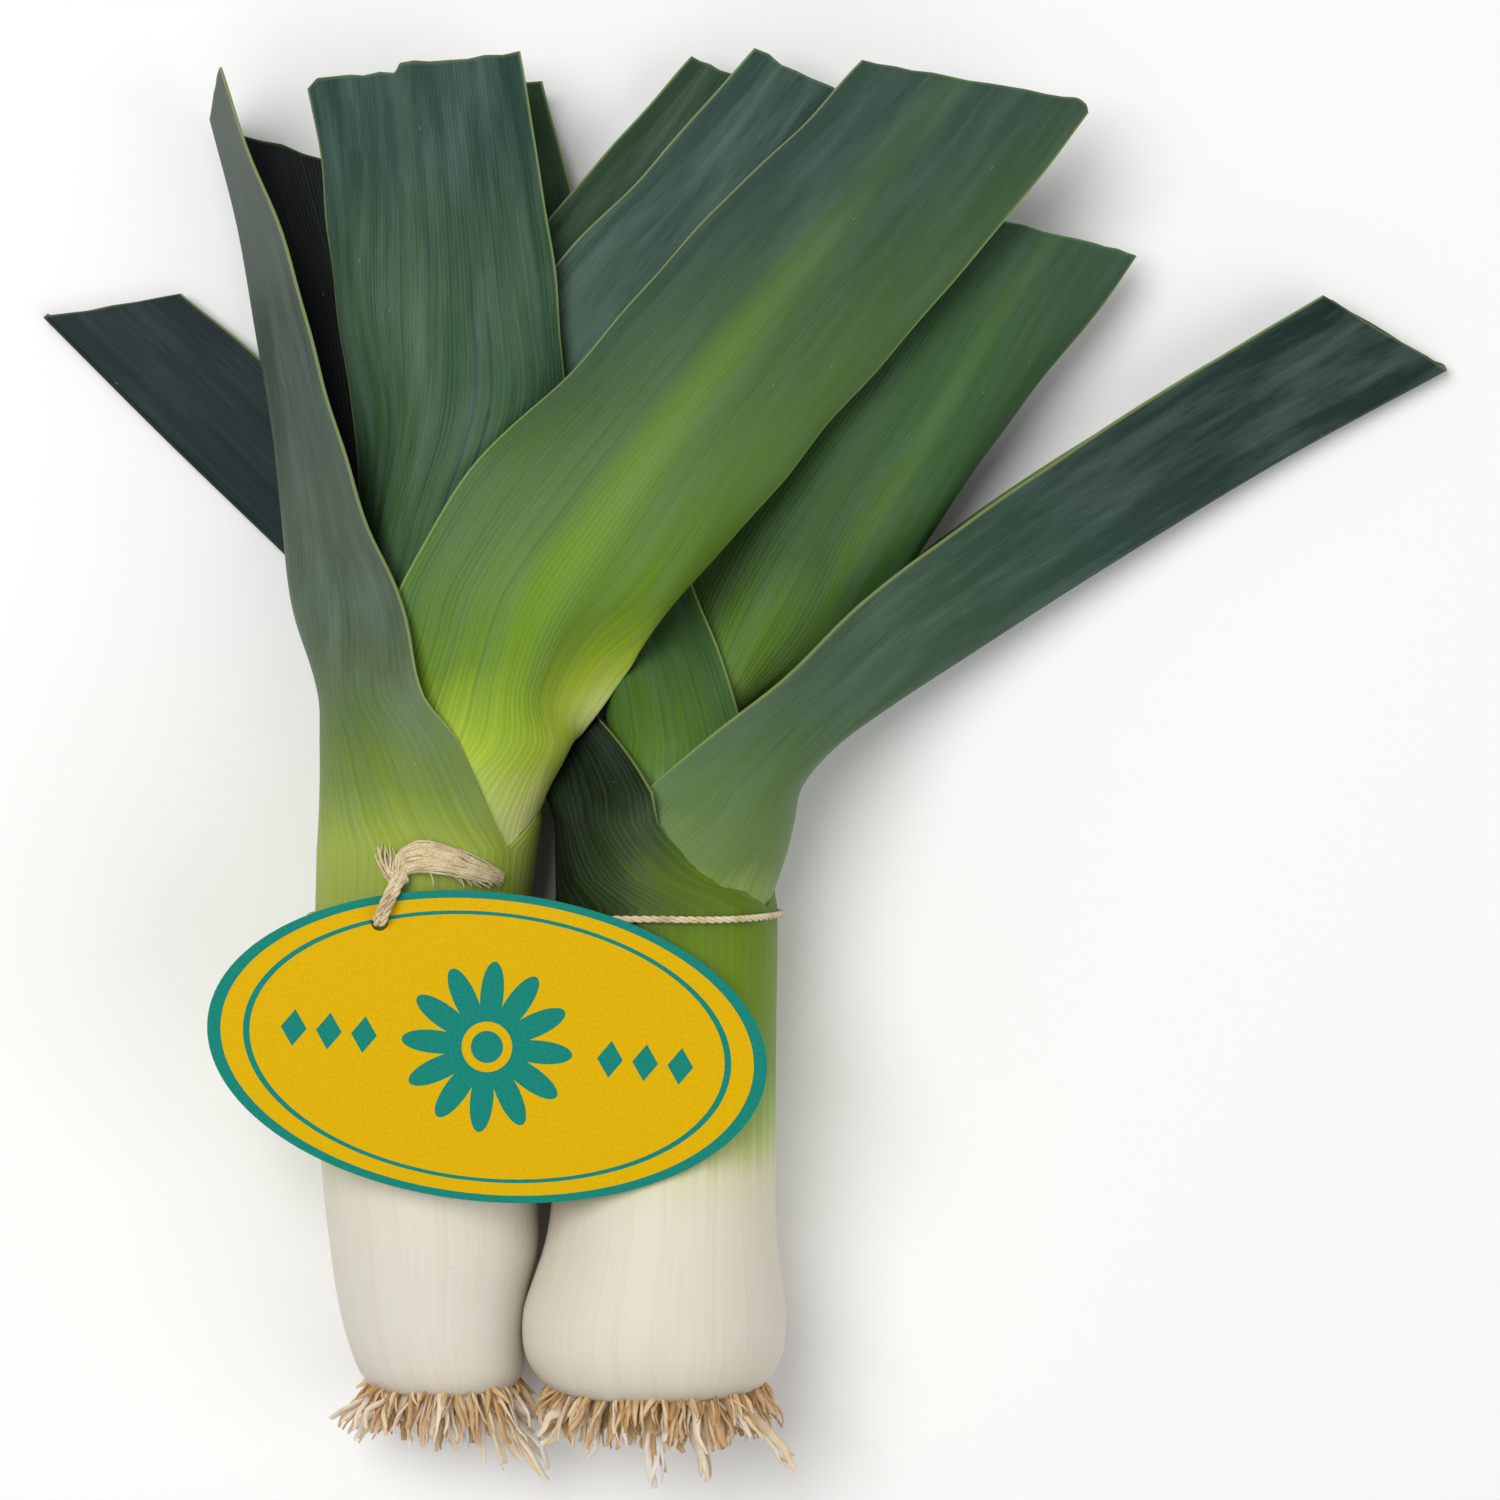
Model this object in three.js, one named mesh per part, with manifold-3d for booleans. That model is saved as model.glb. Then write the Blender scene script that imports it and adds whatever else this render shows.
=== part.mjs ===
// A tied bunch of two leeks with a card tag, lying on its back. Millimetres.
// +X is the right leek's side, +Y runs from the roots to the leaf ends, +Z points up from the table.
// The origin is at the middle of the bunch's outline, on the table.
import * as THREE from 'three';
import Module from 'manifold-3d';

const wasm = await Module();
wasm.setup();
const { Manifold, Mesh: SolidMesh } = wasm;

// Leaves
const BLADE = 1.2; // thickness of a leaf blade
const WALL = 1.4; // thickness of a sheath at the throat
const SIDE_POINTS = 10; // points from the midrib to one margin
const FOLD_CROWDING = 1.2; // above 1 the points crowd towards the midrib
const ROW_STEP = 16; // distance between two rows of points along a blade

// Roots
const ROOTS_PER_TUFT = 34;
const ROOT_THICKNESS = 1.8; // at the base; the tip is a third of this
const ROOT_ENDS = -147; // y of the longest root tips
const LEFT_ROOTS = { top: -127.8, x: -62.6, z: 20.6, radius: 12.5, spread: 8 };
const RIGHT_ROOTS = { top: -127.3, x: -18.6, z: 26.4, radius: 17, spread: 11 };

// Twine
const TWINE = 1.4; // thickness of the loop
const TWINE_GAP = 0.35; // between the loop and the leeks
const TWINE_Y = -31;
const TIE_LEFT = { x: -66.5, z: 26.5, radius: 22 };
const TIE_RIGHT = { x: -17, z: 27, radius: 22.6 };
const TWIST = 1.8; // thickness of the doubled end that goes through the tag
const KNOT = [-69.3, -22.8, 51.2];
const TASSEL_STRANDS = 22;
const STRAND = 0.7;

// Tag
const TAG_CENTRE = [-52.1, -56.3];
const TAG_LENGTH = 111.4;
const TAG_WIDTH = 61.4;
const TAG_THICKNESS = 0.8;
const TAG_TURN = -5.7; // degrees, seen from above
const TAG_HOLE = [-73.3, -31.6];
const TAG_HOLE_WIDTH = 3.4;
// The tag's underside rests over the loop and the right leek: its height at the loop, and its slopes
const tagUnderside = (x, y) => 51.9 + 0.015 * (x + 17) + 0.035 * (y + 31);

// Shanks, one row per ring: y, x, z of the centre, radius
const LEFT_SHANK = [
  [-127.5, -62.6, 20.6, 14.4],
  [-124, -63, 21, 16.2],
  [-117, -63.8, 21.4, 16.8],
  [-108, -64.8, 21.6, 19],
  [-99, -64.4, 21.5, 21.8],
  [-88, -65.4, 21.5, 21.9],
  [-79, -66, 21.9, 21.9],
  [-55, -66.4, 24.4, 21.8],
  [-31, -66.5, 26.5, 22],
  [-24, -66.2, 27.2, 22.1],
  [-17.6, -66, 27.8, 22.3],
  [-12, -65.8, 28.1, 22.3, 14, 22],
  [-4, -65.5, 28.6, 22.3, 27, 52],
  [5, -65.3, 28.8, 22.3, 38, 80],
  [13, -65.3, 28.9, 22.4, 52, 98],
];
const RIGHT_SHANK = [
  [-127, -19.4, 26.4, 20.8],
  [-124.5, -19.4, 26.6, 23.2],
  [-121, -19.6, 26.5, 25.5],
  [-117, -19.6, 26.2, 26.8],
  [-111, -19.4, 26.2, 26.7],
  [-105, -18.8, 26.6, 25.3],
  [-98, -18.1, 26.8, 23.7],
  [-89, -17.6, 26.8, 22.8],
  [-60, -17.2, 26.8, 22.5],
  [-37, -17, 27, 22.6],
  [-29, -17, 27, 22.6],
  [-26, -17, 27, 22.6, 22],
  [-23.5, -17, 27, 22.6, 42],
  [-18, -17.2, 27, 22.5, 60],
  [-12, -17.5, 27, 22.4, 72],
];

// One entry per leaf. Rings are closed rows of the sheath; cup is the ring where the hollow starts.
// keelAngle is the side of the ring that the midrib runs up, turn is the way round to the front margin.
// Stations are open rows: midrib point, front margin, back margin, fold radius (0 is a plain arc).
const LEAVES = {
  left_outer_leaf: {
    rings: LEFT_SHANK,
    cup: 9,
    keelAngle: 217,
    turn: -1,
    stations: [
      [[-92, 31, 17], [-69, 30, 49], [-61, 32, 8], 17],
      [[-95, 50, 11], [-76, 47, 45], [-67, 50, 6.3], 10],
      [[-98, 69, 9], [-83, 67, 41], [-71, 69, 5.8], 6],
      [[-102, 90, 7], [-90, 89, 37], [-74, 90, 4.2], 5],
      [[-106, 111, 6], [-97, 113, 33], [-80, 107, 3], 4.5],
      [[-112, 133, 5], [-108, 141, 30], [-85, 125, 2.5], 4],
    ],
  },
  left_leaf_2: {
    rings: [
      [-23.6, -66.2, 27.2, 20],
      [-14, -65.9, 28, 20.1],
      [-8, -65.6, 28.4, 20.1],
      [-3, -65.5, 28.5, 20, 25],
      [4, -65.3, 28.6, 20, 55],
    ],
    cup: 1,
    keelAngle: 40,
    turn: 1,
    stations: [
      [[-44.5, 13, 42], [-73, 24, 43], [-55, 10, 12], 19],
      [[-38, 27, 47], [-68.5, 37, 45.3], [-36, 17, 27], 20],
      [[-25, 44, 50], [-56, 58, 46], [-20, 25, 37], 0],
      [[-10, 66, 49], [-38, 77, 43], [1, 51, 36], 0],
      [[16, 99, 45], [-9, 109, 38], [31, 85, 35], 0],
      [[46, 137, 38], [23, 142, 33], [71, 134, 30], 0],
    ],
  },
  left_leaf_3: {
    rings: [
      [-13.6, -65.9, 28, 17.6],
      [-5, -65.6, 28.4, 17.4],
      [2, -65.4, 28.3, 17],
      [7, -65.4, 28.1, 16.4, 25],
      [13, -65.5, 28, 15.4, 45],
    ],
    cup: 1,
    keelAngle: 170,
    turn: -1,
    stations: [
      [[-77, 29, 34], [-47, 32, 39.5], [-75, 25, 15], 14],
      [[-73, 47, 38], [-42, 53, 39], [-80, 44, 20], 14],
      [[-68, 69, 40], [-38, 74, 34], [-81, 67, 25], 20],
      [[-67, 93, 37], [-39, 97, 30], [-84, 92, 26], 0],
      [[-68, 118, 33], [-43, 121, 27], [-87, 116, 25], 0],
      [[-70, 141, 29], [-47, 145, 24], [-91, 139, 22], 0],
    ],
  },
  left_leaf_4: {
    rings: [
      [-4.6, -65.6, 28.4, 15.6],
      [3, -65.4, 28.2, 14.6],
      [9, -65.2, 27.9, 12.8],
      [14, -65.1, 27.4, 11.9, 30],
      [22, -64.8, 26.4, 11.4, 65],
    ],
    cup: 1,
    keelAngle: 30,
    turn: 1,
    stations: [
      [[-46, 43, 33], [-67, 49, 30], [-45, 35, 24.5], 12],
      [[-32, 65, 31], [-55, 75, 26], [-25, 55, 25], 0],
      [[-14, 90, 28], [-40, 101, 23], [-3, 79, 22], 0],
      [[4, 114, 25], [-20, 123, 21], [18, 104, 18], 0],
      [[20, 137, 21], [1, 147, 17], [38, 131, 15], 0],
    ],
  },
  left_leaf_5: {
    rings: [
      [3.4, -65.3, 28.1, 12.5],
      [10, -65.1, 27.7, 10.3],
      [16, -65, 27, 9.3],
      [21, -64.8, 26.4, 9, 35],
      [27, -64.4, 26, 8.6, 70],
    ],
    cup: 1,
    keelAngle: 60,
    turn: 1,
    stations: [
      [[-51, 47, 27.5], [-66, 56, 24], [-49, 40, 20.5], 0],
      [[-39, 72, 25], [-58, 83, 22], [-33, 63, 20], 0],
      [[-26, 94, 21.5], [-45, 107, 17.5], [-15, 86, 16], 0],
      [[-12, 117, 18.5], [-30, 126, 14], [1, 109, 14], 0],
      [[2, 140, 14.5], [-12, 146, 10.5], [19, 135, 10], 0],
    ],
  },
  right_outer_leaf: {
    rings: RIGHT_SHANK,
    cup: 9,
    keelAngle: 200,
    turn: -1,
    stations: [
      [[-38.2, -8, 14.6], [-19.5, -6, 49.3], [-23, -8, 4], 17.5],
      [[-51, 0, 4.2], [-28, 6, 34], [-34, 5, 1], 4.2],
      [[-62, 8, 2.6], [-37, 15, 13], [-40, 15, 0.5], 2.4],
      [[-73, 19, 2.1], [-52, 30, 5.2], [-54, 30, 0.1], 2.1],
      [[-94, 40, 1.9], [-77, 57, 4.2], [-78, 58, 0], 1.9],
      [[-122, 67, 1.9], [-101, 83, 4.1], [-102, 83, 0], 1.9],
      [[-148, 93, 1.9], [-119, 98, 4.1], [-120, 98, 0], 1.9],
    ],
  },
  right_leaf_2: {
    rings: [
      [-36.6, -17, 27, 19.9],
      [-30, -17, 27, 19.9],
      [-24, -16.9, 27, 19.6],
      [-18, -16.9, 27, 19.5, 25],
      [-12, -16.8, 27, 19.5, 50],
    ],
    cup: 1,
    keelAngle: 0,
    turn: 1,
    stations: [
      [[9.2, -5, 27], [-20.5, -5.5, 46.3], [-17, -3, 8.2], 19.2],
      [[16, 3, 24], [-8, 5, 46.5], [-6, 10, 6], 14],
      [[26, 10, 17], [7, 17, 42], [10, 23, 4.5], 8],
      [[43, 21, 11], [24, 33, 35], [30, 39, 3.5], 5],
      [[73, 40, 7], [53, 55, 26], [57, 59, 2.5], 4],
      [[111, 63, 4], [91, 80, 17], [93, 81, 1], 3.5],
      [[146, 82, 2.9], [119, 97, 10], [122, 97, 0], 3],
    ],
  },
  right_leaf_3: {
    rings: [
      [-28.6, -17, 27, 17.4],
      [-20, -16.8, 27, 16.9],
      [-12, -16.5, 26.7, 16.3],
      [-6, -16.2, 26.2, 15.5, 25],
      [0, -15.8, 25, 15.3, 45],
      [5, -15, 24.4, 14.4, 55],
    ],
    cup: 1,
    keelAngle: 190,
    turn: -1,
    stations: [
      [[-34, 20, 17.5], [-6, 22, 31], [-23, 15, 6], 13],
      [[-43, 36, 14], [-12, 37, 25], [-33, 32, 7], 10],
      [[-50, 62, 15], [-21, 66, 15], [-67, 59, 9], 0],
      [[-56, 89, 13], [-30, 93, 11], [-76, 87, 8], 0],
      [[-60, 116, 12], [-37, 118, 9], [-81, 115, 8], 0],
      [[-64, 140, 11], [-43, 142, 7.5], [-84, 139, 7.5], 0],
    ],
  },
  right_leaf_4: {
    rings: [
      [-19.6, -16.8, 27, 14.9],
      [-10, -16.4, 26.5, 13.7],
      [-3, -16, 25.7, 12.4],
      [3, -15, 24.5, 11.7, 30],
      [9, -13.6, 23.2, 11.2, 55],
    ],
    cup: 1,
    keelAngle: 20,
    turn: 1,
    stations: [
      [[11, 24, 25], [-19, 31, 15], [2, 15, 12], 11],
      [[22, 45, 27], [-7, 53, 20], [23, 30, 16], 0],
      [[37, 68, 27], [9, 76, 23], [41, 53, 17], 0],
      [[51, 92, 24], [25, 99, 20], [62, 81, 15], 0],
      [[62, 109, 20], [36, 115, 16], [80, 105, 11], 0],
    ],
  },
};

const COLOURS = {
  left_outer_leaf: 0xb9bd98,
  left_leaf_2: 0x5f8a35,
  left_leaf_3: 0x4a6e5e,
  left_leaf_4: 0x4e7468,
  left_leaf_5: 0x5c7a5a,
  right_outer_leaf: 0xb5b594,
  right_leaf_2: 0x3f5f50,
  right_leaf_3: 0x4c6f3c,
  right_leaf_4: 0x4c7040,
  roots: 0xbd9a70,
  twine: 0xc8b49a,
  tag: 0xe0b800,
};

const V = (a) => new THREE.Vector3(...a);
const rad = THREE.MathUtils.degToRad;

// Shares of the way from the midrib to a margin at which the points of a row lie
const SHARES = [];
for (let i = 0; i <= SIDE_POINTS; i += 1) {
  SHARES.push((i / SIDE_POINTS) ** FOLD_CROWDING);
}

// A row of the sheath: round the ring from the back margin over the midrib to the front margin
function ringRow([y, x, z, radius, frontGap = 0, backGap = frontGap], keelAngle, turn) {
  const at = (share) => {
    const gap = share > 0 ? frontGap : backGap;
    const angle = rad(keelAngle) + turn * rad(180 - gap) * share;
    return new THREE.Vector3(x + radius * Math.cos(angle), y, z + radius * Math.sin(angle));
  };
  const back = SHARES.slice(1).reverse().map((share) => at(-share));
  return [...back, ...SHARES.map((share) => at(share))];
}

// Half of an open row, from the midrib round a circle of the fold radius and straight to the margin
function foldedHalf(keel, margin, inward, side, radius) {
  const centre = keel.clone().addScaledVector(inward, radius);
  const q = margin.clone().sub(centre);
  const along = -q.dot(inward);
  const across = q.dot(side);
  const reach = q.length();
  const angle = Math.atan2(across, along);
  let leave = angle;
  if (reach > radius) {
    leave = Math.max(0, angle - Math.acos(radius / reach));
  }
  const onCircle = (a) => centre.clone()
    .addScaledVector(inward, -radius * Math.cos(a))
    .addScaledVector(side, radius * Math.sin(a));
  const corner = onCircle(leave);
  const bent = radius * leave;
  const straight = corner.distanceTo(margin);
  return SHARES.map((share) => {
    const way = share * (bent + straight);
    if (way <= bent) {
      return onCircle(way / radius);
    }
    return corner.clone().lerp(margin, Math.min(1, (way - bent) / straight));
  });
}

// An open row from the back margin over the midrib to the front margin
function openRow([k, f, b, radius]) {
  const keel = V(k);
  const front = V(f);
  const back = V(b);
  const middle = front.clone().add(back).multiplyScalar(0.5);
  const half = front.clone().sub(back).multiplyScalar(0.5);
  if (radius === 0) {
    const depth = keel.clone().sub(middle);
    const bend = 2 * Math.atan(depth.length() / half.length());
    const at = (share) => middle.clone()
      .addScaledVector(half, Math.sin(bend * share) / Math.sin(bend))
      .addScaledVector(depth, (Math.cos(bend * share) - Math.cos(bend)) / (1 - Math.cos(bend)));
    return [...SHARES.slice(1).reverse().map((s) => at(-s)), ...SHARES.map((s) => at(s))];
  }
  const inward = middle.clone().sub(keel).normalize();
  const side = half.clone().addScaledVector(inward, -half.dot(inward)).normalize();
  const frontHalf = foldedHalf(keel, front, inward, side, radius);
  const backHalf = foldedHalf(keel, back, inward, side.clone().negate(), radius);
  return [...backHalf.slice(1).reverse(), ...frontHalf];
}

// Smooth rows through the given ones; returns the rows and the new numbers of the cup and split rows
function fillRows(given, cup, split) {
  const last = given.length - 1;
  const mid = SIDE_POINTS;
  const knots = [0];
  for (let i = 1; i <= last; i += 1) {
    knots.push(knots[i - 1] + given[i][mid].distanceTo(given[i - 1][mid]));
  }
  const slope = (i, j, from, to) => given[to][j].clone().sub(given[from][j])
    .divideScalar(knots[to] - knots[from]);
  const tangent = (i, j, above) => {
    if (i === split) {
      const below = slope(i, j, i - 1, i);
      if (!above) {
        return below;
      }
      const edge = Math.abs(j - mid) / mid;
      return below.lerp(slope(i, j, i, i + 1), 0.4 + 0.6 * edge);
    }
    return slope(i, j, Math.max(0, i - 1), Math.min(last, i + 1));
  };
  const rows = [];
  const marks = {};
  for (let i = 0; i < last; i += 1) {
    marks[i] = rows.length;
    const gap = knots[i + 1] - knots[i];
    const steps = Math.max(1, Math.round(gap / ROW_STEP));
    for (let s = 0; s < steps; s += 1) {
      const t = s / steps;
      rows.push(given[i].map((p, j) => {
        const q = given[i + 1][j];
        const m0 = tangent(i, j, true);
        const m1 = tangent(i + 1, j, false);
        return new THREE.Vector3()
          .addScaledVector(p, 2 * t ** 3 - 3 * t ** 2 + 1)
          .addScaledVector(m0, gap * (t ** 3 - 2 * t ** 2 + t))
          .addScaledVector(q, -2 * t ** 3 + 3 * t ** 2)
          .addScaledVector(m1, gap * (t ** 3 - t ** 2));
      }));
    }
  }
  rows.push(given[last]);
  return { rows, cupRow: marks[cup], splitRow: marks[split] };
}

// The leaf as one closed body: outer face, inner face, rims along the margins, cut end and cup floor
function leafGeometry({ rings, stations, cup, keelAngle, turn }) {
  const given = [...rings.map((ring) => ringRow(ring, keelAngle, turn)), ...stations.map(openRow)];
  const closed = rings.filter((ring) => ring.length === 4).length;
  const { rows, cupRow, splitRow } = fillRows(given, cup, closed - 1);
  const width = 2 * SIDE_POINTS;
  const top = rows.length - 1;
  const outer = rows.map((row) => row.map((p) => new THREE.Vector3(p.x, p.y, Math.max(0, p.z))));

  const normal = (i, j) => {
    const closed = i <= splitRow;
    let left = Math.max(0, j - 1);
    let right = Math.min(width, j + 1);
    if (closed && j === 0) {
      left = width - 1;
    }
    if (closed && j === width) {
      right = 1;
    }
    const across = rows[i][right].clone().sub(rows[i][left]);
    const up = rows[Math.min(top, i + 1)][j].clone().sub(rows[Math.max(0, i - 1)][j]);
    return across.cross(up).normalize().multiplyScalar(turn);
  };
  const inner = outer.map((row, i) => row.map((p, j) => {
    const depth = i <= splitRow ? WALL : BLADE;
    return p.clone().addScaledVector(normal(i, j), depth);
  }));

  const points = [];
  const numbers = new Map();
  const number = (name, p) => {
    if (!numbers.has(name)) {
      numbers.set(name, points.length);
      points.push(p);
    }
    return numbers.get(name);
  };
  const O = (i, j) => {
    const k = i <= splitRow && j === width ? 0 : j;
    return number(`o${i}_${k}`, outer[i][k]);
  };
  const I = (i, j) => {
    const k = i <= splitRow && j === width ? 0 : j;
    return number(`i${i}_${k}`, inner[i][k]);
  };
  const faces = [];
  const face = (...ids) => {
    const list = turn > 0 ? ids : ids.reverse();
    for (let n = 2; n < list.length; n += 1) {
      faces.push([list[0], list[n - 1], list[n]]);
    }
  };
  const middleOf = (list) => list.reduce((sum, p) => sum.add(p), new THREE.Vector3())
    .divideScalar(list.length);
  const base = number('base', middleOf(outer[0]));
  const floor = number('floor', middleOf(inner[cupRow]));
  for (let j = 0; j < width; j += 1) {
    for (let i = 0; i < top; i += 1) {
      face(O(i, j), O(i + 1, j), O(i + 1, j + 1), O(i, j + 1));
      if (i >= cupRow) {
        face(I(i, j), I(i, j + 1), I(i + 1, j + 1), I(i + 1, j));
      }
    }
    face(base, O(0, j), O(0, j + 1));
    face(floor, I(cupRow, j + 1), I(cupRow, j));
    face(O(top, j), I(top, j), I(top, j + 1), O(top, j + 1));
  }
  for (let i = splitRow; i < top; i += 1) {
    face(O(i, 0), I(i, 0), I(i + 1, 0), O(i + 1, 0));
    face(O(i, width), O(i + 1, width), I(i + 1, width), I(i, width));
  }
  return geometryFrom(points, faces);
}

function geometryFrom(points, faces) {
  const geometry = new THREE.BufferGeometry();
  const flat = points.flatMap((p) => [p.x, p.y, p.z]);
  geometry.setAttribute('position', new THREE.Float32BufferAttribute(flat, 3));
  geometry.setIndex(faces.flat());
  return geometry;
}

function solidFrom(points, faces) {
  const flat = points.flatMap((p) => [p.x, p.y, p.z]);
  return new Manifold(new SolidMesh({
    numProp: 3,
    vertProperties: new Float32Array(flat),
    triVerts: new Uint32Array(faces.flat()),
  }));
}

function geometryOf(solid) {
  const mesh = solid.getMesh();
  const geometry = new THREE.BufferGeometry();
  geometry.setAttribute('position', new THREE.BufferAttribute(mesh.vertProperties, 3));
  geometry.setIndex(new THREE.BufferAttribute(mesh.triVerts, 1));
  return geometry;
}

// A round strand along a list of points; a closed one has no ends
function strand(path, radii, sides, closed = false) {
  const count = path.length;
  const points = [];
  const faces = [];
  for (let i = 0; i < count; i += 1) {
    const before = closed ? path[(i + count - 1) % count] : path[Math.max(0, i - 1)];
    const after = closed ? path[(i + 1) % count] : path[Math.min(count - 1, i + 1)];
    const along = after.clone().sub(before).normalize();
    const guide = closed ? new THREE.Vector3(0, 1, 0) : new THREE.Vector3(0.31, 0.17, 0.93);
    const a = guide.cross(along).normalize();
    const b = along.clone().cross(a);
    for (let k = 0; k < sides; k += 1) {
      const angle = (2 * Math.PI * k) / sides;
      points.push(path[i].clone()
        .addScaledVector(a, radii[i] * Math.cos(angle))
        .addScaledVector(b, radii[i] * Math.sin(angle)));
    }
  }
  const spans = closed ? count : count - 1;
  for (let i = 0; i < spans; i += 1) {
    const next = (i + 1) % count;
    for (let k = 0; k < sides; k += 1) {
      const m = (k + 1) % sides;
      faces.push([i * sides + k, i * sides + m, next * sides + m]);
      faces.push([i * sides + k, next * sides + m, next * sides + k]);
    }
  }
  if (!closed) {
    for (let k = 1; k < sides - 1; k += 1) {
      faces.push([0, k + 1, k]);
      const end = (count - 1) * sides;
      faces.push([end, end + k, end + k + 1]);
    }
  }
  return solidFrom(points, faces);
}

// A fixed row of random numbers between 0 and 1
function randomRow(seed) {
  let state = seed;
  return () => {
    state = (state * 1664525 + 1013904223) % 4294967296;
    return state / 4294967296;
  };
}

// The root plate and its rootlets, which fan out sideways and curl back a little
function rootTuft({ top, x, z, radius, spread }, seed) {
  const random = randomRow(seed);
  const plate = Manifold.cylinder(3, radius, radius * 0.92, 20)
    .rotate([90, 0, 0])
    .translate([x, top, z]);
  const pieces = [plate];
  for (let n = 0; n < ROOTS_PER_TUFT; n += 1) {
    const angle = 2 * Math.PI * random();
    const out = 0.2 + 0.65 * Math.sqrt(random());
    const reach = (0.6 + 0.4 * random()) * (ROOT_ENDS - top + 2);
    const swing = spread * out * (0.7 + 0.8 * random());
    const curl = 3 * (random() - 0.5);
    const path = [];
    const radii = [];
    for (let i = 0; i <= 3; i += 1) {
      const t = i / 3;
      const fan = radius * out + swing * t ** 0.7;
      path.push(new THREE.Vector3(
        x + Math.cos(angle) * fan + curl * t ** 2,
        top - 2 + reach * t,
        Math.max(1, z + Math.sin(angle) * fan * 0.85 - 2.5 * t ** 2),
      ));
      radii.push((ROOT_THICKNESS / 2) * (1 - 0.62 * t));
    }
    pieces.push(strand(path, radii, 4));
  }
  return Manifold.union(pieces);
}

// The loop runs round both leeks as one stretched belt
function twineLoop() {
  const clear = TWINE_GAP + TWINE / 2;
  const [left, right] = [TIE_LEFT, TIE_RIGHT];
  const lean = Math.asin((right.radius - left.radius) / (right.x - left.x));
  const path = [];
  const arc = (centre, from, to) => {
    for (let i = 0; i <= 12; i += 1) {
      const angle = from + ((to - from) * i) / 12;
      const r = centre.radius + clear;
      const z = centre.z + r * Math.sin(angle);
      path.push(new THREE.Vector3(centre.x + r * Math.cos(angle), TWINE_Y, z));
    }
  };
  arc(left, Math.PI / 2 + lean, 1.5 * Math.PI - lean);
  arc(right, -Math.PI / 2 - lean, Math.PI / 2 + lean);
  return strand(path, path.map(() => TWINE / 2), 6, true);
}

// The doubled end comes up through the tag's hole to the knot, and frays into a tassel
function twineKnot() {
  const random = randomRow(7);
  const [x, y, z] = KNOT;
  const [hx, hy] = TAG_HOLE;
  const path = [[hx, hy, 49.7], [hx, hy, 52.6], [hx + 0.5, hy + 1, 54], [x - 1.4, y - 3.6, 54],
    [x - 0.4, y - 1.2, 52.6], [x, y, z]].map(V);
  const pieces = [
    strand(path, path.map(() => TWIST / 2), 8),
    Manifold.sphere(1.9, 16).scale([1.1, 0.9, 0.8]).translate(KNOT),
  ];
  const leekTop = (px) => 27.8 + Math.sqrt(22.3 ** 2 - (px + 66) ** 2);
  for (let n = 0; n < TASSEL_STRANDS; n += 1) {
    const share = n / (TASSEL_STRANDS - 1);
    const angle = rad(2 + 128 * share ** 1.3 + 5 * (random() - 0.5));
    const reach = (19.5 - 12 * share ** 0.8) * (0.8 + 0.25 * random());
    const bow = 3 * (random() - 0.5);
    const lift = 0.5 + 1.8 * random();
    const line = [];
    for (let i = 0; i <= 3; i += 1) {
      const t = i / 3;
      const px = x + reach * t * Math.cos(angle) - bow * Math.sin(angle) * t * (1 - t) * 2;
      const py = y + reach * t * Math.sin(angle) + bow * Math.cos(angle) * t * (1 - t) * 2;
      const rise = z + (leekTop(px) + 0.5 - z) * Math.min(1, t * 1.6) + lift * Math.sin(Math.PI * t);
      line.push(new THREE.Vector3(px, py, Math.max(rise, leekTop(px) + 0.6)));
    }
    pieces.push(strand(line, line.map(() => STRAND / 2), 4));
  }
  return Manifold.union(pieces);
}

function tag() {
  const outline = new THREE.Shape();
  outline.absellipse(0, 0, TAG_LENGTH / 2, TAG_WIDTH / 2, 0, 2 * Math.PI, false, 0);
  const turn = rad(TAG_TURN);
  const dx = TAG_HOLE[0] - TAG_CENTRE[0];
  const dy = TAG_HOLE[1] - TAG_CENTRE[1];
  const hole = new THREE.Path();
  const hx = dx * Math.cos(turn) + dy * Math.sin(turn);
  const hy = dy * Math.cos(turn) - dx * Math.sin(turn);
  hole.absarc(hx, hy, TAG_HOLE_WIDTH / 2, 0, 2 * Math.PI, true);
  outline.holes.push(hole);
  const settings = { depth: TAG_THICKNESS, bevelEnabled: false, curveSegments: 24 };
  const geometry = new THREE.ExtrudeGeometry(outline, settings);
  geometry.rotateZ(turn);
  geometry.translate(TAG_CENTRE[0], TAG_CENTRE[1], 0);
  const place = geometry.attributes.position;
  for (let i = 0; i < place.count; i += 1) {
    place.setZ(i, place.getZ(i) + tagUnderside(place.getX(i), place.getY(i)));
  }
  return geometry;
}

const bunch = new THREE.Group();
function add(name, geometry, colour, roughness = 0.6) {
  const material = new THREE.MeshStandardMaterial({ color: colour, roughness, metalness: 0 });
  material.side = THREE.FrontSide;
  const mesh = new THREE.Mesh(geometry, material);
  mesh.name = name;
  bunch.add(mesh);
}

for (const [name, leaf] of Object.entries(LEAVES)) {
  add(name, leafGeometry(leaf), COLOURS[name], 0.5);
}

add('left_roots', geometryOf(rootTuft(LEFT_ROOTS, 11)), COLOURS.roots, 0.9);
add('right_roots', geometryOf(rootTuft(RIGHT_ROOTS, 23)), COLOURS.roots, 0.9);
add('twine_loop', geometryOf(twineLoop()), COLOURS.twine, 0.95);
add('twine_knot', geometryOf(twineKnot()), COLOURS.twine, 0.95);
add('tag', tag(), COLOURS.tag, 0.6);

export default bunch;
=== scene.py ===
"""A tied bunch of two leeks with a card tag, lying on its back and seen from straight above."""

import math

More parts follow.
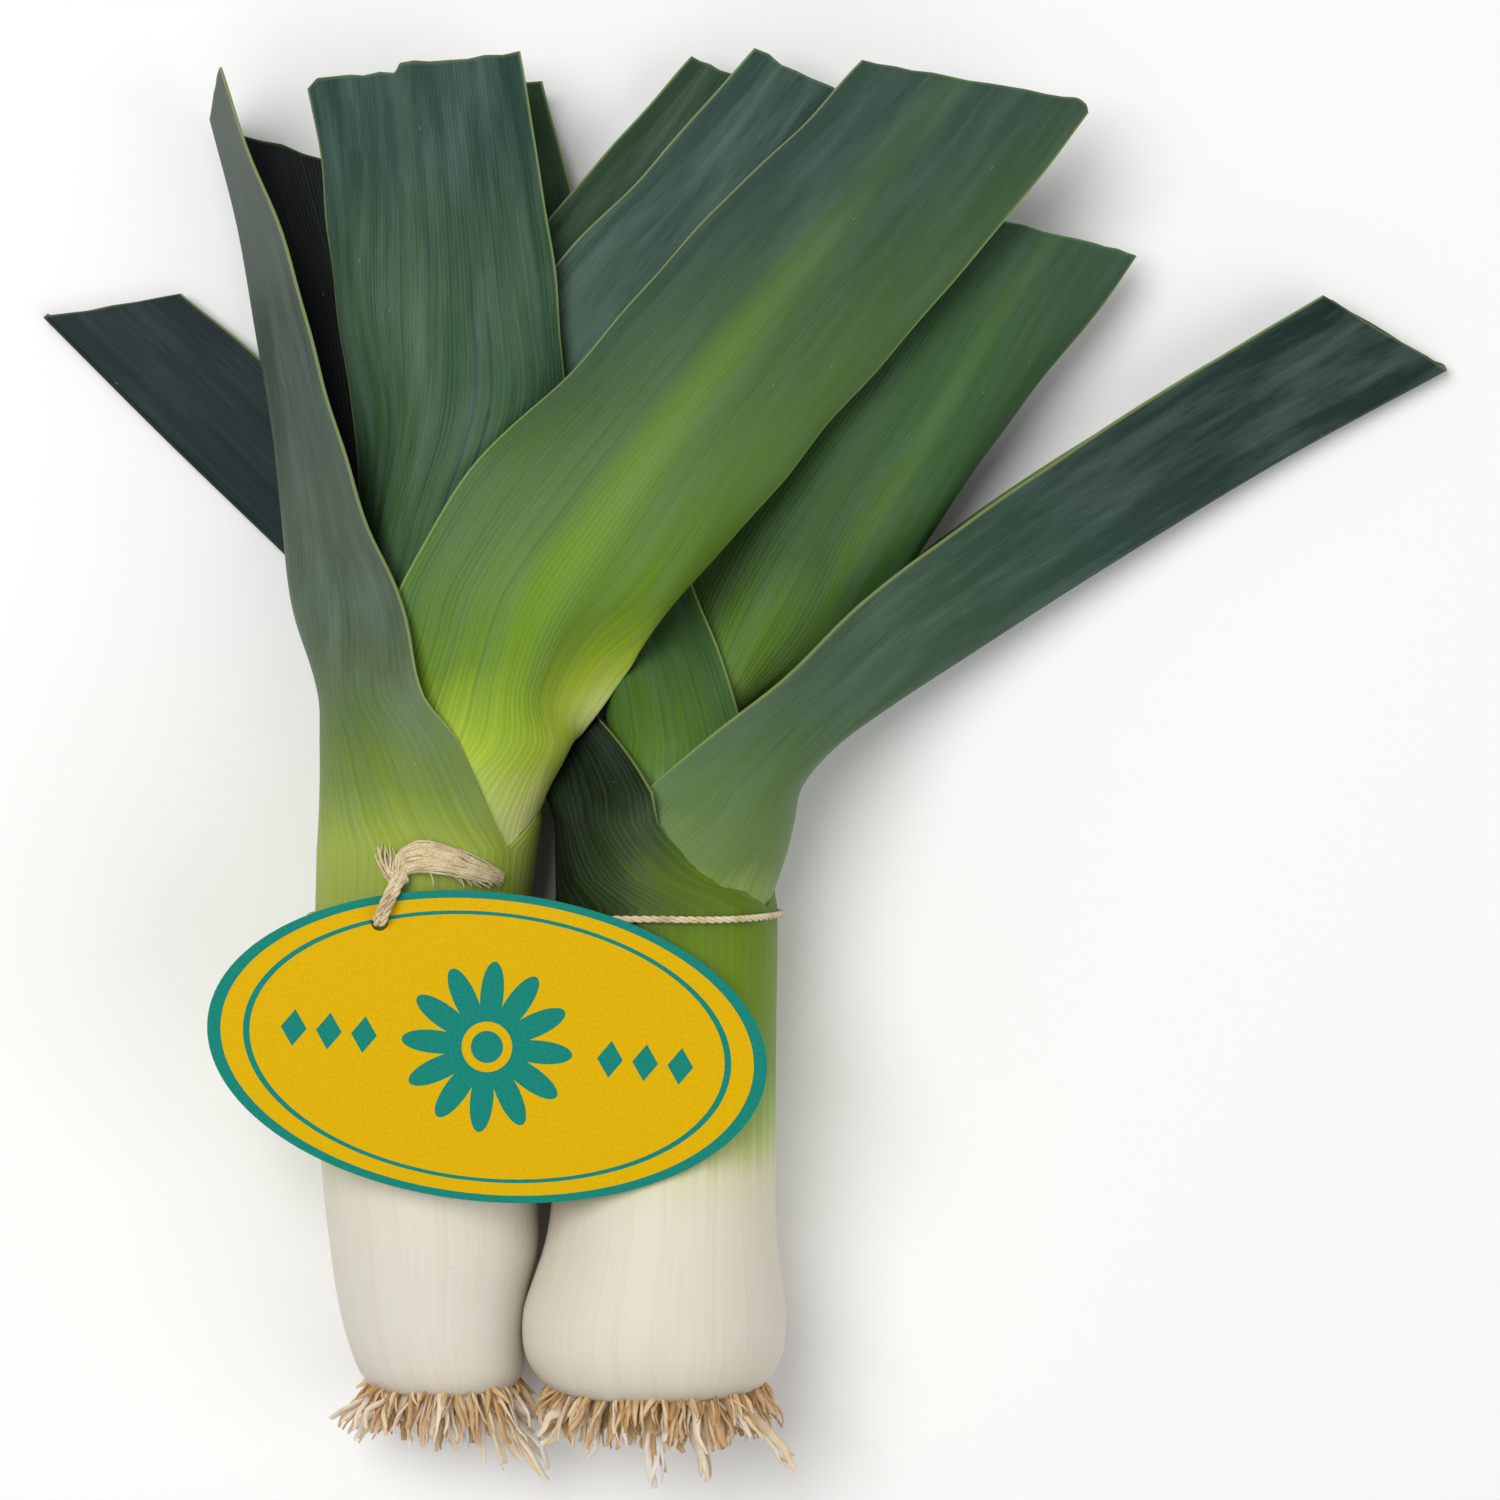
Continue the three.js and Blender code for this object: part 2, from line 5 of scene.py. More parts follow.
import bmesh
import bpy
import numpy as np
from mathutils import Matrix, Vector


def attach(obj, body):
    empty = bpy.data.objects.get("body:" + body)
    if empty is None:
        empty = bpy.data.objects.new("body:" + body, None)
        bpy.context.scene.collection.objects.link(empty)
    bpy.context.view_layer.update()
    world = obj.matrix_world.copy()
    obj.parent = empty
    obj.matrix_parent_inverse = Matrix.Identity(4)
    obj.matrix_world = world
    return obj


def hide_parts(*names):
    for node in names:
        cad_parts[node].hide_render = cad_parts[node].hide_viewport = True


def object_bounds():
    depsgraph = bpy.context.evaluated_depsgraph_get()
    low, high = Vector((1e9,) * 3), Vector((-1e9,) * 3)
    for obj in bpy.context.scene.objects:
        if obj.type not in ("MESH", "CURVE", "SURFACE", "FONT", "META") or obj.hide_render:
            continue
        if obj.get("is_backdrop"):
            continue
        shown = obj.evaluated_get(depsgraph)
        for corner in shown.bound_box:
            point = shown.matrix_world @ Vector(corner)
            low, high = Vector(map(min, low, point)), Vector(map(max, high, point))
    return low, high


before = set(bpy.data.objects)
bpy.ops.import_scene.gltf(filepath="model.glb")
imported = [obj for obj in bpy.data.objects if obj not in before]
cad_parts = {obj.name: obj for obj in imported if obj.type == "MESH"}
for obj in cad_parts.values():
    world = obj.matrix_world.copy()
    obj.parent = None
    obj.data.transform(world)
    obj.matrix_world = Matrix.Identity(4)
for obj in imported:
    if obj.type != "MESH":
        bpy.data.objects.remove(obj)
cad_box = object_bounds()

# --------------------
# Outer leaves. Each leek's outermost leaf is a closed white tube round all the others, the shank,
# that opens in a V at the throat and goes on as a flat green blade folded along its midrib.
# --------------------

MM = 0.001
SHEATH_WALL = 1.4
BLADE_MIDDLE = 1.2  # a blade is thickest at its midrib
BLADE_MARGIN = 0.55
FOLD_CROWDING = 1.2  # columns lie closer together near the midrib, where the blade folds
COLUMNS = 44  # from the midrib to one margin
ROW_STEP = 2.6
WAVE_LENGTHS = (61.0, 37.0, 23.0)  # of the margins
WAVE_GROWTH = 60  # how far up the blade the waves are full
MARGIN_SINK = 0.85  # how much lower a margin lies where the blade leaves the tube,
SINK_WAY = 26  # how far up the blade that is so,
SINK_REACH = 2.5  # and how far from the margin
THINNING_WAY = 12  # over which the tube's wall becomes the blade's
SHARP_ANGLE = 48
GRAIN_RADIUS = 22.0  # the veins are counted round a shank of this radius

share = np.concatenate(
    [
        -((np.arange(COLUMNS, 0, -1) / COLUMNS) ** FOLD_CROWDING),
        (np.arange(COLUMNS + 1) / COLUMNS) ** FOLD_CROWDING,
    ]
)
edge = np.abs(np.arange(-COLUMNS, COLUMNS + 1)) / COLUMNS


def around(x, z, radius, angle, y):
    """Points round a shank."""
    return np.stack([x + radius * np.cos(angle), y + 0 * angle, z + radius * np.sin(angle)], axis=1)


def sheath_row(ring, keel_angle, turn):
    """Points round the tube, from the back margin over the midrib to the front margin."""
    y, x, z, radius = ring[:4]
    front_gap = ring[4] if len(ring) > 4 else 0
    back_gap = ring[5] if len(ring) > 5 else front_gap
    gap = np.where(share > 0, front_gap, back_gap)
    angle = np.radians(keel_angle) + turn * np.radians(180 - gap) * share
    return around(x, z, radius, angle, y)


def half_fold(keel, margin, inward, side, radius, way_share):
    """From the midrib round the fold's circle, then straight to the margin."""
    centre = keel + inward * radius
    q = margin - centre
    reach = np.linalg.norm(q)
    angle = math.atan2(q @ side, -(q @ inward))
    leave = max(0.0, angle - math.acos(radius / reach)) if reach > radius else angle
    bent = radius * leave
    corner = centre - inward * radius * math.cos(leave) + side * radius * math.sin(leave)
    straight = np.linalg.norm(corner - margin)
    way = way_share * (bent + straight)
    round_ = np.minimum(way, bent) / radius
    on_circle = (
        centre
        - np.outer(np.cos(round_), inward) * radius
        + np.outer(np.sin(round_), side) * radius
    )
    beyond = np.clip((way - bent) / straight, 0, 1)[:, None]
    return np.where((way > bent)[:, None], corner + (margin - corner) * beyond, on_circle)


def blade_row(station):
    """An open row: the blade is bent evenly, or folded with a small radius along its midrib."""
    keel, front, back = (np.array(p, float) for p in station[:3])
    radius = station[3]
    middle, half = (front + back) / 2, (front - back) / 2
    if radius == 0:
        depth = keel - middle
        bend = 2 * math.atan(np.linalg.norm(depth) / np.linalg.norm(half))
        return (
            middle
            + np.outer(np.sin(bend * share) / math.sin(bend), half)
            + np.outer((np.cos(bend * share) - math.cos(bend)) / (1 - math.cos(bend)), depth)
        )
    inward = (middle - keel) / np.linalg.norm(middle - keel)
    side = half - inward * (half @ inward)
    side /= np.linalg.norm(side)
    halves = share[COLUMNS:]
    front_half = half_fold(keel, front, inward, side, radius, halves)
    back_half = half_fold(keel, back, inward, -side, radius, halves)
    return np.concatenate([back_half[:0:-1], front_half])


def rows_between(given, split):
    """Smooth rows through the given ones, the way along the midrib, and where each given row went."""
    last = len(given) - 1
    steps_on_midrib = np.linalg.norm(np.diff(given[:, COLUMNS], axis=0), axis=1)
    knots = np.concatenate([[0], np.cumsum(steps_on_midrib)])

    def slope(a, b):
        return (given[b] - given[a]) / (knots[b] - knots[a])

    def leaving(i):
        if i == split:
            return slope(i - 1, i) + (slope(i, i + 1) - slope(i - 1, i)) * (0.4 + 0.6 * edge)[:, None]
        return slope(max(0, i - 1), min(last, i + 1))

    def arriving(i):
        return slope(i - 1, i) if i == split else slope(max(0, i - 1), min(last, i + 1))

    rows, along, marks = [], [], []
    for i in range(last):
        marks.append(len(rows))
        gap = knots[i + 1] - knots[i]
        count = max(1, round(gap / ROW_STEP))
        for t in np.arange(count) / count:
            rows.append(
                given[i] * (2 * t**3 - 3 * t**2 + 1)
                + leaving(i) * gap * (t**3 - 2 * t**2 + t)
                + given[i + 1] * (3 * t**2 - 2 * t**3)
                + arriving(i + 1) * gap * (t**3 - t**2)
            )
            along.append(knots[i] + gap * t)
    rows.append(given[last])
    along.append(knots[last])
    marks.append(len(rows) - 1)
    return np.array(rows), np.array(along), marks


def leek_leaf(name, rings, stations, keel_angle, turn, seed, cup=1, wave=0.5, trim=((-1, 0), (1, 0))):
    """One whole leaf as a closed shell, with the way of its veins kept on its points.
    A ring has y, x, z, radius and the front and back gaps in degrees; a station has the midrib, the
    front margin, the back margin and the fold's radius. The hollow starts at ring number cup, and
    trim is how far the cut end is out of line."""
    random = np.random.default_rng(seed)
    sheath = [sheath_row(ring, keel_angle, turn) for ring in rings]
    given = np.array(sheath + [blade_row(station) for station in stations])
    closed_rings = sum(len(r) == 4 for r in rings)
    rows, along, marks = rows_between(given, closed_rings - 1)
    split, cup_row = marks[closed_rings - 1], marks[cup]
    along = along + rings[0][0]
    count, width = rows.shape[0], rows.shape[1]
    top = count - 1
    is_closed = np.arange(count) <= split

    # The margins of a blade wave a little, more towards its end, and the cut end is not quite even
    open_way = np.clip((along - along[split]) / WAVE_GROWTH, 0, 1)
    across = np.roll(rows, -1, axis=1) - np.roll(rows, 1, axis=1)
    across[:, 0] = np.where(is_closed[:, None], rows[:, 1] - rows[:, -2], rows[:, 1] - rows[:, 0])
    across[:, -1] = np.where(is_closed[:, None], rows[:, 1] - rows[:, -2], rows[:, -1] - rows[:, -2])
    up = np.gradient(rows, axis=0)
    normal = np.cross(across, up)
    normal *= turn / np.linalg.norm(normal, axis=2, keepdims=True)
    phase = random.uniform(0, 6.28, 6)
    ripple = np.zeros((count, width))
    for n, length in enumerate(WAVE_LENGTHS):
        way = along[:, None] * 6.283 / length + phase[n] + phase[n + 3] * np.sign(share)
        ripple += np.sin(way) / (n + 1)
    rows = rows + normal * (wave * ripple * open_way[:, None] * edge**3)[:, :, None]
    ragged = np.interp(share, np.linspace(-1, 1, 14), random.normal(0, 0.22, 14))
    ragged += np.interp(share, *np.transpose(trim))
    rows[top] = rows[top] + (rows[top] - rows[top - 1]) / ROW_STEP * ragged[:, None]
    rows[:, :, 2] = np.maximum(rows[:, :, 2], 0)

    from_margin = np.empty((count, width))
    for i in range(count):
        way = np.concatenate([[0], np.cumsum(np.linalg.norm(np.diff(rows[i], axis=0), axis=1))])
        from_margin[i] = np.minimum(way, way[-1] - way)
    below = np.maximum(0, along[split] - along)[:, None]
    from_margin = np.hypot(from_margin, below)
    # Where the blade leaves the tube its margin is thin and lies close on the next leaf
    leaving = np.clip(1 - (along - along[split]) / SINK_WAY, 0, 1)[:, None] * (below < 6)
    sink = MARGIN_SINK * np.exp(-from_margin / SINK_REACH) * leaving
    rows = rows + normal * sink[:, :, None]

    flank = BLADE_MARGIN + (BLADE_MIDDLE - BLADE_MARGIN) * (1 - edge**2)
    near_split = np.clip((along - along[split]) / THINNING_WAY, 0, 1)[:, None]
    depth = SHEATH_WALL + np.where(is_closed[:, None], 0, (flank - SHEATH_WALL) * near_split)
    inner = rows + normal * (depth - sink * 0.95)[:, :, None]
    from_margin = from_margin + 1.2 * leaving

    # Vertices: all outer ones, then all inner ones, then the two poles
    outer_number = np.arange(count * width).reshape(count, width)
    outer_number[is_closed, -1] = outer_number[is_closed, 0]
    inner_number = outer_number + count * width
    points = np.concatenate([rows.reshape(-1, 3), inner.reshape(-1, 3)])
    base, floor = len(points), len(points) + 1
    points = np.concatenate([points, [rows[0].mean(0), inner[cup_row].mean(0)]])

    a, b = outer_number[:-1, :-1], outer_number[1:, :-1]
    c, d = outer_number[1:, 1:], outer_number[:-1, 1:]
    faces = np.stack([a, b, c, d], axis=-1).reshape(-1, 4).tolist()
    a, b = inner_number[cup_row:-1, :-1], inner_number[cup_row:-1, 1:]
    c, d = inner_number[cup_row + 1 :, 1:], inner_number[cup_row + 1 :, :-1]
    faces += np.stack([a, b, c, d], axis=-1).reshape(-1, 4).tolist()
    for j in range(width - 1):
        faces.append([base, *outer_number[0, j : j + 2]])
        faces.append([floor, *inner_number[cup_row, j : j + 2][::-1]])
        faces.append([outer_number[top, j], *inner_number[top, j : j + 2], outer_number[top, j + 1]])
    for i in range(split, top):
        faces.append([outer_number[i, 0], *inner_number[i : i + 2, 0], outer_number[i + 1, 0]])
        faces.append([*outer_number[i : i + 2, -1], *inner_number[i : i + 2, -1][::-1]])
    if turn < 0:
        faces = [f[::-1] for f in faces]

    # What the skin's pattern needs: a point's vein, and its way to the margin and to the cut
    turned = np.pi * share
    grain = np.empty((count, width, 3))
    grain[:, :, 0] = GRAIN_RADIUS * np.cos(turned)
    grain[:, :, 1] = GRAIN_RADIUS * np.sin(turned)
    grain[:, :, 2] = along[:, None]
    from_cut = np.repeat((along[top] - along)[:, None], width, axis=1)
    poles = [grain[0].mean(0)[None], grain[cup_row].mean(0)[None]]
    inside = np.zeros(len(points))
    inside[count * width : 2 * count * width] = 1
    inside[floor] = 1

    mesh = bpy.data.meshes.new(name)
    mesh.from_pydata((points * MM).tolist(), [], faces)
    for key, kind, values in (
        ("grain", "FLOAT_VECTOR", np.concatenate([grain.reshape(-1, 3)] * 2 + poles)),
        ("margin", "FLOAT", np.concatenate([from_margin.ravel()] * 2 + [[50, 50]])),
        ("cut", "FLOAT", np.concatenate([from_cut.ravel()] * 2 + [[200, 200]])),
        ("inside", "FLOAT", inside),
    ):
        layer = mesh.attributes.new(key, kind, "POINT")
        field = "vector" if kind == "FLOAT_VECTOR" else "value"
        layer.data.foreach_set(field, values.ravel().astype(np.float32))
    used = np.zeros(len(points), bool)
    used[np.unique(np.concatenate([np.array(f) for f in faces]))] = True
    drop_loose(mesh, used)
    smooth(mesh)
    mesh.set_sharp_from_angle(angle=math.radians(SHARP_ANGLE))
    return placed(name, mesh)


def drop_loose(mesh, used):
    """Removes the points that no face has, on the tube's doubled margin and inside its solid foot."""
    work = bmesh.new()
    work.from_mesh(mesh)
    work.verts.ensure_lookup_table()
    bmesh.ops.delete(work, geom=[work.verts[i] for i in np.flatnonzero(~used)], context="VERTS")
    work.to_mesh(mesh)
    work.free()


def linear(colour):
    """An sRGB hex colour as linear RGBA."""
    parts = [int(colour[i : i + 2], 16) / 255 for i in (1, 3, 5)]
    return [p / 12.92 if p <= 0.04045 else ((p + 0.055) / 1.055) ** 2.4 for p in parts] + [1.0]


def pen(tree):
    """The function that adds a node to this tree."""

    def put(kind, inputs=(), stops=(), **settings):
        """Adds a node. A kind in capitals is a Math node's operation, and one without Node in it is a
        shader node's. The inputs are named, or a list in the node's own order: values, hex colours,
        sockets, or nodes for their first output. Stops are a colour ramp's places and colours. Mix
        is for colours, and gives its result's socket."""
        if kind.isupper():
            kind, settings["operation"] = "Math", kind
        if kind == "Mix":
            settings["data_type"] = "RGBA"
        node = tree.nodes.new(kind if "Node" in kind else "ShaderNode" + kind)
        for key, value in settings.items():
            setattr(node, key, value)
        for key, value in inputs.items() if isinstance(inputs, dict) else enumerate(inputs):
            if isinstance(value, bpy.types.Node):
                value = value.outputs[0]
            if isinstance(value, bpy.types.NodeSocket):
                tree.links.new(value, node.inputs[key])
            else:
                is_colour = isinstance(value, str) and value.startswith("#")
                node.inputs[key].default_value = linear(value) if is_colour else value
        for k, (place, colour) in enumerate(stops):
            if k == len(node.color_ramp.elements):
                node.color_ramp.elements.new(1.0)
            node.color_ramp.elements[k].position = place
            node.color_ramp.elements[k].color = linear(colour)
        return node.outputs[2] if kind == "Mix" else node

    return put


def bare_material(name):
    """A material with no nodes yet, and its put."""
    material = bpy.data.materials.new(name)
    material.use_nodes = True
    material.node_tree.nodes.clear()
    return material, pen(material.node_tree)


def placed(name, data):
    """An object at the origin."""
    thing = bpy.data.objects.new(name, data)
    bpy.context.scene.collection.objects.link(thing)
    return thing


def smooth(mesh):
    """Shades the faces as one curved surface."""
    mesh.polygons.foreach_set("use_smooth", [True] * len(mesh.polygons))


VEINS = 66.0  # round the leaf


def leek_skin(
    name, outside, inside, bloom, streak, midrib=0.0, midrib_colour="#8FA63A", midrib_at=0.0,
    midrib_reach=0.34, keel_reach=0.0, lean=0.0,
):
    """Living leaf skin with a thin coat of wax: veins run its whole length, and the wax turns the
    green bluer. outside and inside are the colours along the leaf, by the millimetres from the bunch's
    middle. The green starts keel_reach lower at the midrib than at the margins, and lean lower at the
    front margin than in the middle of the blade; where a leaf sets them, they partly paint shade."""
    material, put = bare_material(name)
    grain = put("Attribute", attribute_name="grain").outputs["Vector"]
    east, north, along = put("SeparateXYZ", [grain]).outputs
    margin = put("Attribute", attribute_name="margin").outputs["Fac"]
    cut = put("Attribute", attribute_name="cut").outputs["Fac"]
    side = put("Attribute", attribute_name="inside").outputs["Fac"]
    vein = put("ARCTAN2", [north, east])

    # Broad streaks about 5 mm wide, fine ones of 1.2 mm, all far longer than wide, and cloudy patches
    broad, fine, patch = (
        put("TexNoise", {
            "Vector": put("Mapping", {"Vector": grain, "Scale": scale}),
            "Scale": 1.0, "Detail": detail, "Roughness": roughness,
        })
        for scale, detail, roughness in (
            ((0.16, 0.16, 0.006), 3.0, 0.6),
            ((0.75, 0.75, 0.012), 4.0, 0.65),
            ((0.09, 0.09, 0.03), 5.0, 0.62),
        )
    )

    # The colour changes along the leaf, and reaches further up some veins than others
    shifted = put("MULTIPLY_ADD", [broad, 14.0, -7.0])
    shifted = put("MULTIPLY_ADD", [fine, 5.0, shifted])
    shifted = put("ADD", [along, shifted])
    # keel_reach and lean push the colour further up the leaf on one side; where set, this is partly
    # painted shade.
    for ahead, low, high in (
        (put("MULTIPLY", [east, keel_reach / GRAIN_RADIUS]), -70.0, -20.0),
        (put("MapRange", [vein, -math.pi, math.pi, -0.8 * lean, lean]), 0.0, 20.0),
    ):
        grows = put("MapRange", [along, low, high])
        shifted = put("MULTIPLY_ADD", [ahead, grows, shifted])
    first, last = min(outside), max(outside)
    place = put("MapRange", [shifted, first + 2.5, last + 2.5])
    outer_ramp, inner_ramp = (
        put("ValToRGB", [place], [((s - first) / (last - first), c) for s, c in colours.items()])
        for colours in (outside, inside)
    )
    is_inside = put("GREATER_THAN", [side, 0.5])
    colour = put("Mix", {0: is_inside, 6: outer_ramp, 7: inner_ramp})

    # How green the skin is here, from the blanched foot to the blade: veins and wax show on the green
    green = put("MapRange", [shifted, -80.0, 30.0])

    # On the blanched foot the veins are only faint warm lines
    blanched = put("SUBTRACT", [1.0, green])
    faint = put("MapRange", [fine, 0.45, 0.7, 0.0, 0.16])
    faint = put("MULTIPLY", [faint, blanched])
    colour = put("Mix", {0: faint, 6: colour, 7: "#B9AC8C"})

    dark_streak = put("MapRange", [fine, 0.42, 0.66])
    amount = put("MULTIPLY", [dark_streak, green])
    amount = put("MULTIPLY", [amount, streak])
    darker = put("Mix", {0: amount, 6: colour, 7: "#1E3A34"})

    # The midrib is a paler, yellower band that fades out towards the end
    off_midrib = put("MULTIPLY_ADD", [broad, 0.05, -0.025])
    off_midrib = put("ADD", [vein, off_midrib])
    off_midrib = put("SUBTRACT", [off_midrib, midrib_at])
    off_midrib = put("ABSOLUTE", [off_midrib])
    band = [off_midrib, 0.02, midrib_reach, 1.0, 0.0]
    on_midrib = put("MapRange", band, interpolation_type="SMOOTHSTEP")
    fading = put("MapRange", [along, 40.0, 140.0, midrib, midrib * 0.2])
    on_midrib = put("MULTIPLY", [on_midrib, fading])
    ribbed = put("Mix", {0: on_midrib, 6: darker, 7: midrib_colour})

    # Wax bloom lies in cloudy patches, thicker on the blade
    waxy = put("MapRange", [patch, 0.4, 0.72])
    waxy = put("MULTIPLY", [waxy, green])
    outer_only = put("MULTIPLY_ADD", [is_inside, -0.75, 1.0])
    waxy_amount = put("MULTIPLY", [waxy, outer_only])
    waxy_amount = put("MULTIPLY", [waxy_amount, bloom])
    bloomed = put("Mix", {0: waxy_amount, 6: ribbed, 7: "#7F968C"})

    # Veins are faintly paler and not equally strong, and the light catches them too
    wander = put("MULTIPLY", [broad, 5.0])
    turns = put("MULTIPLY_ADD", [vein, VEINS, wander])
    ridge = put("SINE", [turns])
    ridge01 = put("MapRange", [ridge, -0.2], interpolation_type="SMOOTHSTEP")
    on_green = put("MULTIPLY_ADD", [green, 0.8, 0.2])
    ridge_amount = put("MULTIPLY", [ridge01, on_green])
    strong = put("MapRange", [fine, 0.35, 0.65, 0.0, 0.4])
    ridge_amount = put("MULTIPLY", [ridge_amount, strong])
    paler = {0: ridge_amount, 6: bloomed, 7: (1.5, 1.45, 1.3, 1.0)}
    veined = put("Mix", paler, blend_type="MULTIPLY")

    # Small pale scars and dust specks, under a millimetre wide
    speck_place = put("Mapping", {"Vector": grain, "Scale": (0.14, 0.14, 0.1)})
    speck = put("TexVoronoi", {"Vector": speck_place, "Scale": 1.0, "Randomness": 1.0})
    chosen = put("MapRange", [speck.outputs["Color"]])
    size = put("MULTIPLY_ADD", [chosen, 0.075, -0.02])
    specked = put("LESS_THAN", [speck.outputs["Distance"], size])
    specked = put("MULTIPLY", [specked, 0.3])
    speckled = put("Mix", {0: specked, 6: veined, 7: "#B5BE9C"})

    # The margin is a thin pale line, and the cut shows the pale flesh between the two skins
    at_margin = put("MapRange", [margin, 0.15, 0.7, 0.6, 0.0])
    at_cut = put("MapRange", [cut, 0.0, 0.7, 0.3, 0.0])
    pale = put("MAXIMUM", [at_margin, at_cut])
    finished = put("Mix", {0: pale, 6: speckled, 7: "#93A464"})

    # Wax scatters the light where it is thick, and the skin shines where it is rubbed off
    rough = put("MapRange", [waxy, 0.0, 1.0, 0.4, 0.62])
    relief = put("MULTIPLY_ADD", [fine, 0.5, ridge01])
    relief = put("MULTIPLY", [relief, on_green])
    bump = put("Bump", {"Strength": 0.28, "Distance": 0.0002, "Height": relief})
    skin = put("BsdfPrincipled", {
        "Base Color": finished,
        "Roughness": rough,
        "IOR": 1.43,
        "Specular IOR Level": 0.13,
        "Subsurface Weight": 0.12,
        "Subsurface Scale": 0.002,
        "Subsurface Radius": (1.0, 1.0, 0.4),
        "Normal": bump,
    })
    put("OutputMaterial", {"Surface": skin})
    return material


left_outer_leaf = leek_leaf(
    "left_outer_leaf_skin",
    rings=[
        (-128.2, -62.8, 20.6, 13.4), (-127.3, -62.9, 20.6, 15.2), (-124.5, -63.2, 20.9, 16.9),
        (-117, -64.6, 21.1, 18.2), (-108, -65, 21.2, 19.8), (-99, -64.6, 21.4, 21.4),
        (-88, -65.4, 21.5, 21.9), (-79, -66, 21.9, 21.9), (-55, -66.4, 24.4, 21.8),
        (-31, -66.5, 26.5, 22), (-24, -66.2, 27.2, 22.1), (-17.6, -65.6, 27.8, 22.5),
        (-12, -64.9, 28.1, 22.8, 14, 22), (-4, -64.1, 28.6, 23.3, 27, 56),
        (5, -64.2, 28.8, 23.2, 38, 84), (13, -64.8, 28.9, 22.8, 52, 98),
    ],
    stations=[
        ((-92, 31, 17), (-69, 30, 49), (-61, 32, 8), 17),
        ((-95, 50, 11), (-76, 47, 45), (-67, 50, 6.3), 10),
        ((-98, 69, 9), (-83, 67, 41), (-71, 69, 5.8), 6),
        ((-102, 90, 7), (-90, 89, 37), (-74, 90, 4.2), 5),
        ((-106, 111, 6), (-97, 113, 33), (-80, 107, 3), 4.5),
        ((-112, 133, 5), (-108, 141, 30), (-85, 125, 2.5), 4),
    ],
    cup=10, keel_angle=217, turn=-1, seed=3,
)
right_outer_leaf = leek_leaf(
    "right_outer_leaf_skin",
    rings=[
        (-127.8, -19.2, 26.3, 19.2), (-126.8, -19.4, 26.3, 21.8), (-124.5, -19.4, 26.3, 24.2),
        (-121, -19.6, 26.2, 26), (-117, -19.6, 26.2, 26.8), (-111, -19.4, 26.2, 26.7),
        (-105, -18.8, 26.6, 25.3), (-98, -18.1, 26.8, 23.7), (-89, -17.6, 26.8, 22.8),
        (-60, -17.2, 26.8, 22.5), (-37, -17, 27, 22.6), (-29, -17, 27, 22.6),
        (-26, -17, 27, 22.6, 22), (-23.5, -17, 27, 22.6, 42), (-18, -17.2, 27, 22.5, 60),
        (-12, -17.5, 27, 22.4, 72),
    ],
    stations=[
        ((-38.2, -8, 14.6), (-19.5, -6, 49.3), (-23, -8, 4), 17.5),
        ((-51, 0, 4.2), (-28, 6, 34), (-34, 5, 1), 4.2),
        ((-62, 8, 2.6), (-37, 15, 13), (-40, 15, 0.5), 2.4),
        ((-73, 19, 2.1), (-52, 30, 5.2), (-54, 30, 0.1), 2.1),
        ((-94, 40, 1.9), (-77, 57, 4.2), (-78, 58, 0), 1.9),
        ((-122, 67, 1.9), (-101, 83, 4.1), (-102, 83, 0), 1.9),
        ((-148, 93, 1.9), (-119, 98, 4.1), (-120, 98, 0), 1.9),
    ],
    cup=10, keel_angle=200, turn=-1, wave=0.2, seed=5,
)
left_outer_leaf.data.materials.append(
    leek_skin(
        "waxy leek skin, blanched foot to grey green",
        outside={
            -128: "#D2CABA", -112: "#D9D5C9", -84: "#DAD5C6", -68: "#C0C888", -40: "#8F9C42",
            -14: "#98AA40", -2: "#708732", 12: "#5A7036", 22: "#505F3A", 35: "#4B5A44", 75: "#49554B",
            150: "#444C43",
        },
        # The inner face turns near black up the blade as painted shade: the shadowed gap inside this
        # folded leaf and under left_leaf_3.
        inside={
            -128: "#E8E4D8", -66: "#D8DCA8", -14: "#A8BC5A", 20: "#2E4426", 42: "#0E150F",
            150: "#080C0B",
        },
        bloom=0.3, streak=0.25,
    )
)
right_outer_leaf.data.materials.append(
    leek_skin(
        "waxy leek skin, blanched foot to dark blue green",
        # The near-black stops from -24 to 12 are painted shade, for the flank in the shadow of
        # left_leaf_2 and the left leek; further up the colour is partly the blade's dark blue green
        # and partly painted shade.
        outside={
            -128: "#D0C6B4", -112: "#D8D2C4", -86: "#DAD4C2", -78: "#D6D2B0", -72: "#B8C37E",
            -66: "#91AA50", -60: "#728F30", -50: "#6C8A12", -38: "#627E12", -24: "#233A0E",
            -12: "#0F1A09", 12: "#0E1810", 50: "#141E22", 150: "#141D23",
        },
        inside={
            -128: "#E8E4D8", -66: "#D8DCA8", -30: "#9BB25A", 0: "#4C6F3C", 60: "#2C4640",
            150: "#22343A",
        },
        # keel_reach darkens the flank facing the left leek: partly the blade's green reaching lower,
        # partly painted shade.
        bloom=0.1, streak=0.4, keel_reach=15.0,
    )
)
for piece, node in ((left_outer_leaf, "left_outer_leaf"), (right_outer_leaf, "right_outer_leaf")):
    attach(piece, "root")
    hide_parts(node)

# --------------------
# Inner leaves. They stand one inside the other in each throat and fan out, trimmed straight across
# with a knife; the widest of them crosses the bunch in front.
# --------------------

